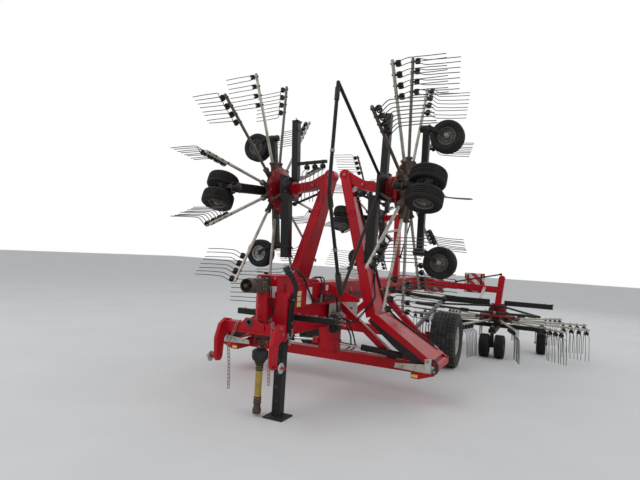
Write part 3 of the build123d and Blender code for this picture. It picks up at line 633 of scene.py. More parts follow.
def road_tyre(kit, at):
    seg, across = 396, 64
    half = TYRE_W / 2
    pitch = tau / 44
    verts = []

    def groove(x, a):
        # Depth of the tread groove at a place across and round the tyre.
        zig = 0.01 * (abs(((a / pitch) % 1) * 2 - 1) * 2 - 1)
        d = 0.0
        for line, wide in ((-0.062, 0.0055), (0.0, 0.0055), (0.062, 0.0055), (-0.118, 0.0065),
                           (0.118, 0.0065)):
            k = abs(x - line - (zig if abs(line) < 0.1 else zig * 0.8))
            d = max(d, 1 - max(0, k - wide) / 0.004)
        if abs(x) > 0.118:
            k = abs(((a / pitch + 0.5) % 1) - 0.5) * pitch * TYRE_R
            d = max(d, 1 - max(0, k - 0.009) / 0.005)
        else:
            k = abs(((a / pitch + (0.5 if x > 0 else 0)) % 1) - 0.5) * pitch * TYRE_R
            d = max(d, (1 - max(0, k - 0.002) / 0.004) * 0.45)
        return max(0, min(1, d))

    for k in range(across + 1):
        x = (-1 + 2 * k / across) * TREAD_HALF
        base = TYRE_R - 0.016 * (abs(x) / TREAD_HALF) ** 3
        for i in range(seg):
            a = tau * i / seg
            r = base - 0.013 * groove(x, a)
            verts.append((r * cos(a), r * sin(a), x))
    kit.add(verts, bands(across + 1, seg), 0, at)
    for s in (-1, 1):
        face = at if s > 0 else at @ turn("X", 180)
        kit.lathe([(0.225, half - 0.04), (0.232, half - 0.026), (0.24, half - 0.022), (0.262, half - 0.008),
                  (0.3, half - 0.002), (0.335, half), (0.342, half - 0.003), (0.365, half - 0.003),
                  (0.392, half - 0.01), (0.408, half - 0.0165)], 0, face, 96, True)
        # Rim lip, well and disc.
        kit.lathe(mm((34, 110), (62, 110), (70, 100), (72, 52), (80, 40), (130, 28), (172, 52), (188, 56),
                  (197, 100), (200, 140), (216, 152), (226, 158), (232, 154), (234, 146)), 1, face, 72, True)
        for i in range(6):
            kit.bolt(face @ turn("Z", i * 60) @ move(0.103, 0, 0.035), 0.013, 2)
        kit.lathe(mm((34.5, 108), (50, 110), (50, 116), (34.5, 116.5)), 2, face, 24)


def road_wheels():
    for name, side in (("left", 1), ("right", -1)):
        kit = Kit()
        at = move(side * TRACK_HALF, AXLE_Y, TYRE_R) @ turn("Y", 90 if side > 0 else -90)
        road_tyre(kit, at)
        kit.make("road_tyre_" + name, [ROAD, RIM_CREAM, BOLT], "wheel_" + name,
                 replaces="transport_wheel_" + name)


for wing in WINGS:
    rotor(wing)
    small_wheels(wing)
road_wheels()


# Trim on the beam and its head
def face_plate(kit, mat, x, y0, y1, z0, z1):
    kit.block(x, x + 0.0012, y0, y1, z0, z1, mat, None, 0.0004)


def stickers():
    kit = Kit()
    kit.block(0.035, 0.113, HEAD_FACE - 0.0012, HEAD_FACE, 1.179, 1.293, 0, None, 0.0004)
    for row in range(3):
        for x, y in ((0.12, -1.352), (BEAM_HALF, -1.224)):
            face_plate(kit, 2, x, y, y + 0.092, 1.18 - 0.06 * row, 1.23 - 0.06 * row)
    face_plate(kit, 0, BEAM_HALF, -1.0, -0.87, 1.075, 1.265)
    face_plate(kit, 0, BEAM_HALF, -0.5, -0.43, 1.21, 1.278)
    face_plate(kit, 0, BEAM_HALF, 3.3, 3.42, 1.1, 1.24)
    for side in (-1, 1):
        kit.block(side * 1.2, side * 1.275, EAR_FRONT - 0.0012, EAR_FRONT, 0.312, 0.345, 1, None, 0.0004)
    kit.make("blank_stickers", [STICKER, STICKER_YELLOW, STICKER_PALE], "frame")
    kit = Kit()
    for side in (-1, 1):
        for y in (0.324, 1.62, 3.05):
            at = facing_x(side, side * BEAM_HALF, y, 1.205)
            kit.lathe(mm((0, 8), (19, 7.5), (22.5, 5), (24.5, 5), (24.5, 0), (0, 0)), 0, at, 28)
    kit.make("side_reflectors", [AMBER], "frame")


def weld(kit, points, radius=0.0045):
    # Bead with a slightly uneven width along a run of points.
    out, sizes = [], []
    rng = random.Random(len(points) + int(abs(points[0][0]) * 1000))
    for a, b in zip(points, points[1:]):
        a, b = Vector(a), Vector(b)
        n = max(2, int((b - a).length / 0.012))
        for i in range(n):
            out.append(a.lerp(b, i / n))
            sizes.append(radius * rng.uniform(0.85, 1.15))
    out.append(Vector(points[-1]))
    sizes.append(radius)
    kit.tube(out, sizes, 0, None, 6)


def beam_welds():
    kit = Kit()
    for side in (-1, 1):
        x = side * (BEAM_HALF + 0.0015)
        weld(kit, [(x, -1.23, 1.046), (x, -1.23, BEAM_TOP)])
        xp = side * (0.11 + 0.001)
        weld(kit, [(xp, -0.106, 1.043), (xp, 0.106, 1.043)])
        weld(kit, [(xp, -0.106, 0.427), (xp, 0.106, 0.427)])
        weld(kit, [(side * 0.2, 1.955, BEAM_LOW - 0.002), (side * 0.13, 1.955, BEAM_LOW - 0.002)])
        weld(kit, [(side * 0.115, -1.47, 1.312), (side * 0.115, -0.65, 1.312)], 0.0035)
        bar = side * (1.24 - 0.046)
        weld(kit, [(bar, -0.076, 0.301), (bar, -0.076, 0.395)])
        weld(kit, [(bar, 0.076, 0.301), (bar, 0.076, 0.395)])
    weld(kit, mm((-110, -106.5, 427), (110, -106.5, 427)))
    weld(kit, mm((-110, 106.5, 427), (110, 106.5, 427)))
    kit.make("weld_seams", [RED], "frame")


def pin_ends():
    # Caps, retaining plates and bolts on the hinge pins of the four wings.
    kit = Kit()
    for side in (-1, 1):
        for y, way in ((-0.363, -1), (0.363, 1)):
            at = move(side * BOOM_FOOT.x, y, BOOM_FOOT.z) @ turn("X", 90 * -way)
            kit.cap(30, 10, 6, 4, 0, at, 28)
            kit.block(-0.055 if side > 0 else 0.0, 0.0 if side > 0 else 0.055, -0.014, 0.014, 0.0, 0.012, 0,
                      at, 0.002)
            kit.bolt(at @ move(-side * 0.045, 0, 0.012), 0.01, 0)
        for y, way in ((4.007, -1), (4.193, 1)):
            at = move(side * REAR_PIVOT.x, y, REAR_PIVOT.z) @ turn("X", 90 * -way)
            kit.cap(30, 10, 6, 4, 0, at, 28)
    kit.make("hinge_pin_ends", [BOLT], "frame")


def head_trim():
    kit = Kit()
    front = facing_front(0, GEAR_FRONT, GEAR_Z)
    # Cup over the splined stub, cover ring and its bolts.
    kit.lathe(mm((66, 0), (68, 6), (68, 90), (64, 90), (62, 12), (46, 12), (46, 0)), 0, front, 36)
    for i in range(4):
        kit.bolt(front @ turn("Z", 45 + 90 * i) @ move(0.055, 0, 0.001), 0.009, 1, False)
    for side in (-1, 1):
        at = facing_x(side, side * 0.06, -1.8, GEAR_Z)
        kit.lathe(mm((0, 14), (30, 14), (36, 10), (44, 10), (46, 0), (0, 0)), 0, at, 32)
        for i in range(6):
            kit.bolt(at @ turn("Z", 30 + 60 * i) @ move(0.039, 0, 0.01), 0.0065, 1, False)
    for x in (-0.045, 0.045):
        for y in (-1.905, -1.71):
            kit.bolt(move(x, y, GEAR_Z + 0.065), 0.01, 1)
    # Filler plug and breather on top.
    kit.cap(14, 22, 4, 4, 1, move(0.0, -1.83, GEAR_Z + 0.065), 16)
    kit.make("head_gearbox_trim", [BROWN, BOLT], "frame")
    kit = Kit()
    tube = move(0, HEAD_Y, 0)
    kit.lathe(mm((62, 1236), (70, 1236), (70, 1216), (62.5, 1212)), 0, tube, 40)
    kit.lathe(mm((62.5, 965), (70, 960), (70, 934), (62, 934)), 0, tube, 40)
    kit.tube([(0.0, HEAD_Y - 0.06, 1.1), (0.0, HEAD_Y - 0.078, 1.105)], 0.005, 1, None, 8)
    kit.make("swivel_collars", [RED_OLD, BOLT], "frame")


def lid_bolts():
    kit = Kit()
    for side in (-1, 1):
        for i in range(7):
            y = -1.42 + i * 0.115
            kit.bolt(move(side * 0.122, y, BEAM_TOP + 0.0002), 0.009, 0)
    for x in (-0.09, 0.09):
        for z in (1.03, 1.37):
            kit.bolt(facing_front(x, HEAD_FACE - 0.0002, z), 0.01, 0)
    kit.make("lid_bolts", [BOLT], "frame")


def chain(kit, mat, points, link=0.046, wire=0.0042):
    # Steel chain hung along a run: oval links, each a quarter turn from the last.
    run = [Vector(p) for p in points]
    pitch = link * 0.72
    total = sum((b - a).length for a, b in zip(run, run[1:]))
    count = int(total / pitch)
    for i in range(count):
        d = (i + 0.5) * pitch
        for a, b in zip(run, run[1:]):
            n = (b - a).length
            if d <= n:
                break
            d -= n
        at = look(a.lerp(b, min(1, d / n)), b + (b - a), (0, 1, 0)) @ turn("Z", 90 * (i % 2) + 12)
        half, wide = link / 2 - wire, link * 0.3
        ring = []
        for k in range(12):
            t = tau * k / 12
            z = (half - wide) * (1 if sin(t) >= 0 else -1) + wide * sin(t)
            ring.append((wide * cos(t), 0, z))
        kit.tube(ring + [ring[0]], wire, mat, at, 5)


def hitch_trim():
    kit = Kit()
    # Safety chains over the bar and down inside the arms.
    front = YOKE_Y - 0.066
    chain(kit, 0, [(-0.13, YOKE_Y - 0.03, 0.95), (-0.146, front, 0.925), (-0.225, front - 0.01, 0.715),
          (-0.2, front - 0.012, 0.52), (-0.188, front - 0.012, 0.27)])
    chain(kit, 0, [(0.205, YOKE_Y - 0.02, 0.952), (0.25, YOKE_Y - 0.045, 0.96), (0.262, front, 0.93),
          (0.25, front - 0.004, 0.74), (0.244, front - 0.004, 0.59), (0.256, front - 0.004, 0.38)])
    kit.make("hitch_chains", [BOLT], "hitch")
    kit = Kit()
    for side in (-1, 1):
        # Washer and lynch pin on each lower link pin.
        at = facing_x(side, side * 0.395, LINK_Y, LINK_Z)
        kit.lathe(mm((14.2, 12), (46, 12), (50, 9), (50, 3), (46, 0), (14.2, 0)), 0, at, 36)
        kit.tube(mm((0, -20, 28), (0, 24, 28)), 0.0045, 1, at, 8)
        ring = [(0.006, 0.02 * cos(tau * k / 14), 0.028 + 0.02 * sin(tau * k / 14)) for k in range(15)]
        kit.tube(ring, 0.0016, 1, at, 5)
        # Bolts of the bar's end plate on the arm.
        for y, z in ((-1.875, 0.925), (-1.835, 0.865)):
            kit.bolt(facing_x(side, side * 0.3305, y, z), 0.011, 1)
    # Ring nut on the swivel pin's head, and the cast swivel face with a near black disc painted as the shade
    # in its hole.
    kit.cap(38, 50, 8, 6, 2, move(0, YOKE_Y, 0.931), 24)
    face = facing_front(-0.004, YOKE_Y - 0.0645, 0.95)
    kit.lathe(mm((20, -10), (20, 10), (26, 14), (36, 12), (41, 6), (43, 0), (43, -10)), 2, face, 30)
    kit.lathe(mm((0, 1), (20, 1), (20, -4), (0, -4)), 3, face, 24)
    kit.make("hitch_hardware", [ZINC_GREY, BOLT, BROWN, SHADOW], "hitch")
    kit = Kit()
    wall = facing_front(0, YOKE_Y - 0.05, 0)
    kit.slab(mm((-120, 880), (165, 880), (165, 930), (46, 992), (-52, 992), (-104, 925)), 0, 0.014, 0, wall,
             0.003)
    kit.make("hitch_middle_plate", [RED], "hitch")
    kit = Kit()
    # Rusty joint head under the bar, round the shaft's upper fork.
    for side in (-1, 1):
        kit.block(side * 0.0462, side * 0.06, PTO_Y - 0.036, PTO_Y + 0.036, PTO_TOP - 0.066,
                  PTO_TOP + 0.036, 0, None, 0.008)
        kit.bolt(facing_x(side, side * 0.06, PTO_Y, JOINT_Z), 0.014, 1)
    for y in (-0.0302, 0.0302):
        kit.block(-0.0462, 0.0462, PTO_Y + y, PTO_Y + y * 1.25, PTO_TOP + 0.001, PTO_TOP + 0.036, 0, None,
                  0.003)
    kit.lathe(mm((32.2, 805), (66, 805), (70, 812), (60, 838), (40, 850), (32.2, 852)), 0, move(0, PTO_Y, 0),
              36)
    kit.make("shaft_joint_head", [BROWN, BOLT], "hitch")
    kit = Kit()
    for side in (-1, 1):
        x = side * 0.294
        weld(kit, [(x - side * 0.0005, YOKE_Y - 0.0515, 0.842),
             (x - side * 0.0005, YOKE_Y - 0.0515, 0.938)])
        weld(kit, [(side * 0.061, YOKE_Y - 0.051, 0.842), (side * 0.061, YOKE_Y - 0.051, 0.938)])
    kit.make("hitch_welds", [RED], "hitch")


def drive_shaft():
    # Dark joint, bell and lower yoke of the hanging shaft over its yellow tube.
    kit = Kit()
    at = move(0, PTO_Y, 0)
    z = JOINT_Z
    kit.block(-0.0285, 0.0285, -0.0245, 0.0245, z - 0.094, z + 0.024, 0, at, 0.005)
    for s in (-1, 1):
        kit.cap(14.5, 12, 2.5, 4, 1, at @ facing_x(s, s * 0.026, 0, z), 14)
        kit.cap(14.5, 12, 2.5, 4, 1, at @ move(0, s * 0.022, z - 0.05) @ turn("X", -90 * s), 14)
    bell = mm((38, -70), (58, -76), (76, -88), (82, -102), (83, -146), (80, -170), (68, -187), (56, -191),
              (55, -204), (46, -210), (46, -222), (35.5, -228))
    kit.lathe([(r, z + h) for r, h in bell], 2, at, 44)
    ribs = mm((35.5, 0), (39.5, -4), (39.5, -12), (35.5, -16))
    for i in range(3):
        kit.lathe([(r, z - 0.23 + h - i * 0.022) for r, h in ribs], 2, at, 32)
    for low in (0.15, 0.172, 0.194):
        kit.lathe([(r, low + h) for r, h in ribs], 2, at, 32)
    kit.lathe(mm((22.5, 22), (40, 26), (43, 40), (43, 70), (36, 85), (34.5, 118), (40, 126), (40, 144),
              (34.5, 152)), 3, at, 36)
    kit.make("drive_shaft_joints", [BROWN, BOLT, DARK_PLASTIC, BROWN], "pto")


def leg_trim():
    kit = Kit()
    # Rings round the leg's pin holes, each filled with a near black disc painted as the shade inside the
    # hole.
    for i in range(5):
        z = 0.18 + i * 0.13
        kit.lathe(mm((10, 0), (14.5, 0.2), (14.5, 0), (10, 0)), 0,
                  facing_front(LEG_X, LEG_Y - LEG_HALF, z), 16)
        kit.lathe(mm((0, 0.2), (10, 0.2), (10, 0), (0, 0)), 1, facing_front(LEG_X, LEG_Y - LEG_HALF, z), 16)
    kit.make("parking_leg_holes", [BOLT, SHADOW], "leg")
    kit = Kit()
    pin_x = LEG_X + 0.0592
    kit.tube([(pin_x, LEG_Y, 0.8), (pin_x + 0.025, LEG_Y, 0.8)], 0.011, 0, None, 14)
    kit.tube(fillet([(pin_x + 0.018, LEG_Y, 0.8), (pin_x + 0.05, LEG_Y, 0.8),
             (pin_x + 0.05, LEG_Y, 0.868)], 0.02), 0.007, 0, None, 10)
    kit.make("parking_leg_pin", [BOLT], "frame")


def tidy_hose(kit, mat, points, radius=0.01, fitting=1, soft=0.07, sides=10):
    # Hydraulic hose with a crimped ferrule and a nut at each end.
    run = fillet(points, soft, 5)
    kit.tube(run, radius, mat, None, sides)
    for a, b in ((run[0], run[1]), (run[-1], run[-2])):
        at = look(a, b, (0.3, 0.5, 0.8))
        kit.lathe([(0, -0.02), (radius * 0.9, -0.02), (radius * 0.9, 0.0), (radius * 1.25, 0.002),
                  (radius * 1.3, 0.036), (radius * 1.02, 0.042)][::-1], fitting, at, 14)
        kit.slab(circle(radius * 1.55, 6), -0.018, -0.004, fitting, at, 0.001)


def head_hoses():
    kit = Kit()
    # Supply hoses over the head box, behind the leg's path and down the sleeve's left side.
    for i, (y, low) in enumerate(((-1.61, 0.8), (-1.58, 0.74), (-1.548, 0.84))):
        back = -1.522 + 0.025 * i
        x = 0.262 + 0.003 * i
        tidy_hose(kit, 0, [(0.02 + 0.03 * i, -1.3 - 0.05 * i, 1.425),
                  (0.05 + 0.02 * i, -1.42, 1.475 + 0.01 * i), (0.125, back, 1.455 + 0.012 * i),
                  (0.2, back, 1.395 + 0.012 * i), (x, back, 1.29), (x, (back + y) / 2, 1.21),
                  (x + 0.002, y, 1.13), (x + 0.002, y - 0.01, 1.0), (x - 0.004, y, low)], 0.0105, 1, 0.09)
    for z in (1.16, 0.93):
        kit.block(0.249, 0.29, -1.632, -1.526, z, z + 0.022, 2, None, 0.003)
        kit.bolt(move(0.29, -1.5965, z + 0.011) @ turn("Y", 90), 0.008, 1, False)
    kit.make("supply_hoses", [HOSE, BOLT, BLACK], "frame")
    kit = Kit()
    # Steel lines along the beam's left side in clamps.
    for i in range(4):
        z = 1.085 + i * 0.024
        kit.tube(fillet([(BEAM_HALF + 0.01, -0.62, z), (BEAM_HALF + 0.01, 1.9, z),
                 (BEAM_HALF + 0.01, 3.92, z)], 0.02), 0.0065, 0, None, 8)
    for y in (-0.55, 0.28, 1.05, 1.8, 2.7, 3.4, 3.85):
        kit.block(BEAM_HALF, BEAM_HALF + 0.02, y, y + 0.03, 1.072, 1.17, 1, None, 0.003)
        kit.bolt(move(BEAM_HALF + 0.02, y + 0.015, 1.121) @ turn("Y", 90), 0.008, 2)
    kit.make("hydraulic_lines", [BLACK, DARK_PLASTIC, BOLT], "frame")


# Trim on the wings
def gear_head_trim(w):
    kit = Kit(wing_matrix(w))
    # Bolts round the dish, a bolted joint round the housing and the input flange's bolts.
    for i in range(18):
        kit.bolt(turn("Z", i * 20 + 5) @ move(0.302, 0, 0.0215) @ turn("Y", 20), 0.0095, 1)
    kit.lathe(mm((149, 108), (164, 108), (166, 112), (166, 130), (164, 134), (149, 134)), 0, None, 48)
    for i in range(8):
        kit.bolt(turn("Z", i * 45 + 22) @ move(0.157, 0, 0.134), 0.0075, 1, False)
    neck = move(0, 0.27, 0.125) @ turn("X", -90)
    for i in range(6):
        kit.bolt(neck @ turn("Z", i * 60 + 30) @ move(0.06, 0, 0.0), 0.0085, 1)
    kit.lathe(mm((0, 30), (26, 30), (32, 24), (40, 4), (42, 0), (0, 0)), 2, neck, 28)
    kit.cap(12, 18, 2, 6, 1, move(-0.149, 0.02, 0.09) @ turn("Y", -90), 14)
    kit.make(w.name + "_gear_head_trim", [RED_OLD, BOLT, BROWN], w.name + "_wing")


def post_trim(w):
    kit = Kit(wing_matrix(w))
    # Capped ends with pointed ears, and clamps lower on each post.
    for x, y, half, way, deep in ((0.95, -0.03, 0.045, 1, 0.09), (-0.94, -0.29, 0.055, -1, 0.11)):
        kit.block(x, x + way * 0.006, y - half - 0.004, y + half + 0.004, POST_Z - 0.004,
                  POST_Z + deep + 0.004, 0, None, 0.002)
        for at in (x - way * 0.012, x - way * 0.13):
            kit.block(at - 0.012, at + 0.012, y - half - 0.007, y + half + 0.007, POST_Z + deep - 0.018,
                      POST_Z + deep + 0.007, 0, None, 0.003)
            for s in (-1, 1):
                root = y + s * (half + 0.002)
                kit.tube([(at, root, POST_Z + deep - 0.006),
                         (at + way * 0.012, root + s * 0.03, POST_Z + deep - 0.006),
                         (at + way * 0.034, root + s * 0.046, POST_Z + deep - 0.006)], [0.01, 0.008, 0.003],
                         0, None, 8)
    # Bolts of the post plate.
    for px, py in ((-0.135, 0.12), (0.135, 0.12), (-0.135, -0.17), (0.135, -0.17), (-0.06, -0.25),
                   (0.1, -0.25)):
        if (px * px + py * py) ** 0.5 > 0.13:
            kit.bolt(move(px, py, POST_Z), 0.011, 1)
    kit.make(w.name + "_post_trim", [BLACK, BOLT], w.name + "_wing")


def carriage_trim(w):
    kit = Kit(wing_matrix(w, True))
    z = BEAM_LEVEL
    # Flat lever bars on both sides of the spine, with rounded ends and pins.
    for s in (-1, 1):
        end = [(0.032 * cos(t), TWIN_Y - 0.03 + 0.032 * sin(t))
               for t in [radians(180 + 18 * k) for k in range(11)]]
        plate = end + mm((32, -85), (-32, -85))
        at = facing_x(s, s * 0.05, 0, z)
        kit.slab(plate, 0, 0.01, 0, at, 0.002)
        kit.bolt(at @ move(0, TWIN_Y + 0.1, 0.01), 0.012, 1)
        kit.bolt(at @ move(0, -0.16, 0.01), 0.012, 1)
    # Caps, grease nipples and collars on the three castor pins.
    for x, y in ((-CROSS_HALF, CROSS_Y), (CROSS_HALF, CROSS_Y), (0, TWIN_Y)):
        top = move(x, y, z + 0.075)
        kit.lathe(mm((0, 14), (26, 12), (34, 6), (40, 0), (0, 0)), 0, top, 28)
        kit.cap(4.5, 12, 1.5, 4, 1, top @ move(0, 0, 0.013), 8)
        kit.lathe(mm((46, -34), (52, -34), (52, -20), (46, -16)), 0, move(x, y, z), 32)
    for s in (-1, 1):
        kit.bolt(move(s * 0.58, CROSS_Y, z + 0.04), 0.011, 1)
        kit.bolt(move(s * 0.3, CROSS_Y, z + 0.04), 0.011, 1)
    kit.lathe([(0.062, z + 0.04), (0.092, z + 0.042), (0.092, z + 0.056), (0.072, z + 0.062),
              (0.062, z + 0.07)], 0, None, 44)
    kit.make(w.name + "_carriage_trim", [BROWN, BOLT], w.name + "_wing")


def spring(kit, mat, a, b, radius, wire, turns):
    at = look(a, b)
    length = (Vector(b) - Vector(a)).length
    n = int(turns * 12)
    pts = [(radius * cos(tau * turns * i / n), radius * sin(tau * turns * i / n),
           length * i / n) for i in range(n + 1)]
    kit.tube(pts, wire, mat, at, 6)


def guard_trim(w):
    kit = Kit(wing_matrix(w))
    z = GUARD_Z
    kit.tube([(0.72, -1.7203, z), (0.6, -1.7216, z)], 0.025, 0, None, 18)
    a, b = Vector((-1.06, -1.357, z)), Vector((-1.262, -1.2496, z))
    spring(kit, 0, a, b, 0.0255, 0.0075, 13)
    spring(kit, 0, (-0.3, -1.712, z), (-0.42, -1.657, z), 0.0255, 0.0065, 8)
    for p, q in (((0.1, -1.7253, z), (0.13, -1.725, z)), ((-0.8, -1.479, z), (-0.83, -1.465, z))):
        kit.tube([p, q], 0.0225, 1, None, 16)
    kit.make(w.name + "_guard_sleeves", [DARK_PLASTIC, BOLT], w.name + "_wing")


def front_boom_trim(w):
    kit = Kit(side_matrix(w))

    def middle(z):
        return BOOM_TIP.lerp(BOOM_BEND, (BOOM_TIP.z - z) / (BOOM_TIP.z - BOOM_BEND.z)).x

    def deep(z):
        return (0.15 + 0.32 * (BOOM_TIP.z - z) / (BOOM_TIP.z - BOOM_BEND.z)) / 2

    # Flanged boss, edge welds and the bolts of the tip.
    for way in (-1, 1):
        at = move(middle(2.2), way * deep(2.2), 2.2) @ turn("X", -90 * way)
        kit.lathe(mm((0, 4), (26, 4), (30, 10), (47, 10), (52, 6), (55, -4), (0, -4)), 0, at, 36)
        at = move(BOOM_TIP.x, way * 0.075, BOOM_TIP.z) @ turn("X", -90 * way)
        kit.cap(38, 12, 8, 6, 0, at, 28)
        kit.bolt(at @ move(0, 0, 0.012), 0.016, 1)
        at = move(BOOM_KNEE.x, way * 0.06, BOOM_KNEE.z) @ turn("X", -90 * way)
        kit.cap(34, 10, 6, 4, 0, at, 28)
        kit.bolt(at @ move(0, 0, 0.01), 0.013, 1)
    for way in (-1, 1):
        run = [(middle(z) + way * BOOM_SIDE, -deep(z) - 0.0005, z) for z in (2.6, 2.0, 1.4, 1.02)]
        weld(kit, run, 0.0035)
    kit.make(w.name + "_boom_trim", [RED, BOLT], w.name + "_wing")
    kit = Kit(side_matrix(w))
    # Two hoses in clips down the outer edge of the boom and along its foot.
    for i in range(2):
        d = 0.012 + 0.024 * i
        top = [(middle(z) + BOOM_SIDE + 0.012, deep(z) - 0.02 - d, z) for z in (2.45, 1.95, 1.45, 1.04)]
        foot = [(0.8, 0.225 - d, 0.908), (1.16, 0.27 - d, 0.683), (1.34, 0.3 - d, 0.57)]
        kit.tube(fillet(top + foot, 0.1, 6), 0.0095, 0, None, 10)
        for a, b in ((top[0], top[1]), (foot[-1], foot[-2])):
            kit.lathe(mm((0, -24), (8, -24), (8, -2), (12.5, 0), (12.5, 34), (0, 38)), 1,
                      look(a, b, (0, 1, 0)), 12)
    for z in (2.38, 2.0, 1.62, 1.24):
        x = middle(z) + BOOM_SIDE
        kit.block(x - 0.004, x + 0.026, deep(z) - 0.07, deep(z) - 0.016, z - 0.011, z + 0.011, 1, None,
                  0.003)
    run = mm((545, 60, 1530), (562, 30, 1420), (606, -90, 1290), (668, -205, 1175), (640, -246, 1095),
             (575, -250, 1010), (520, -262, 935))
    kit.tube(fillet(run, 0.1, 6), 0.0115, 0, None, 10)
    for a, b in ((run[0], run[1]), (run[-1], run[-2])):
        kit.lathe(mm((0, -22), (10, -22), (10, -2), (15.5, 0), (15.5, 36), (0, 40)), 1, look(a, b, (0, 1, 0)),
                  14)
    kit.block(0.54, 0.566, 0.018, 0.052, 1.44, 1.462, 1, None, 0.003)
    kit.make(w.name + "_boom_hoses", [HOSE, BOLT], w.name + "_wing")


def stored_tines():
    w = WINGS[1]
    kit = Kit(wing_matrix(w))
    rng = random.Random("stored")
    at = Matrix(((0, 0, 1, 0.35), (0, -1, 0, -0.03), (1, 0, 0, 0), (0, 0, 0, 1)))
    for r in (0.42, 0.54, 0.66):
        tine_pair(kit, r, at, rng)
    kit.make("stored_tines", [ZINC, BOLT, COIL, SPRING], w.name + "_wing")


def cylinder_trim(w):
    a, b = Vector((0.155, -0.09, 0.53)), Vector((1.08, -0.09, 0.48))
    at = look(a, b, (0, 1, 0))
    kit = Kit(side_matrix(w))
    kit.lathe(mm((18.5, 326), (34, 326), (39.5, 330), (39.5, 362), (38, 366), (18, 366)), 0, at, 32)
    kit.lathe(mm((37.8, 820), (41, 824), (41, 850), (37.8, 856)), 0, at, 32)
    for z in (0.4, 0.8):
        kit.lathe(mm((0, 16), (11, 16), (11, 0), (14, -2), (0, -2)), 1,
                  at @ facing_front(0, 0, z) @ move(0, 0, 0.037), 12)
    kit.make(w.name + "_cylinder_ends", [BLACK, BOLT], w.name + "_cylinder_barrel")


def rest_trim():
    kit = Kit()
    for side in (-1, 1):
        corner = Vector((side * 0.96, 2.48, 1.015))
        foot = Vector((side * 0.525, 2.015, 0.425))
        at = look(foot, corner)
        length = (corner - foot).length
        a, b = 0.12, length - 0.055
        rings = int((b - a) / 0.026)
        prof = [(0.0275, a)]
        for i in range(rings):
            z = a + (b - a) * i / rings
            step = (b - a) / rings
            prof += [(0.0335, z + step * 0.08), (0.0355, z + step * 0.3), (0.0355, z + step * 0.62),
                     (0.0335, z + step * 0.84)]
        prof.append((0.0275, b))
        kit.lathe(prof, 0, at, 28)
        kit.lathe([(0.0275, b - 0.002), (0.037, b), (0.037, b + 0.016), (0.0275, b + 0.018)], 2, at, 28)
        wall = Vector((side * 0.16, 2.42, 1.08))
        arm = look(corner, wall)
        reach = (wall - corner).length
        kit.lathe([(0.0272, 0.03), (0.0285, 0.034), (0.0285, reach - 0.02), (0.0272, reach - 0.016)], 1, arm,
                  28)
        ball = [(0.052 * sin(pi * k / 12), -0.052 * cos(pi * k / 12)) for k in range(13)]
        kit.lathe(ball, 1, Matrix.Translation(corner), 24)
        for y in (2.388, 2.452):
            for z in (1.062, 1.12):
                kit.bolt(facing_x(side, side * 0.1603, y, z), 0.009, 3)
    kit.make("side_rest_sleeves", [SLEEVE, BLACK, DARK_PLASTIC, BOLT], "frame")


def left_board():
    kit = Kit()
    y = BOARD_Y + 0.02
    # Square striped board behind the lowered boom, on two arms clamped to it.
    kit.slab(mm((1010, 1070), (1400, 1070), (1400, 1460), (1010, 1460)), 0, 0.003, 0,
             facing_front(0, y + 0.033, 0), 0.001)
    for x in (1.08, 1.33):
        kit.block(x - 0.012, x + 0.012, y + 0.024, y + 0.03, 1.09, 1.44, 1, None, 0.002)
    kit.make("left_board", [BOARDS, BLACK], "rear_left_wing")


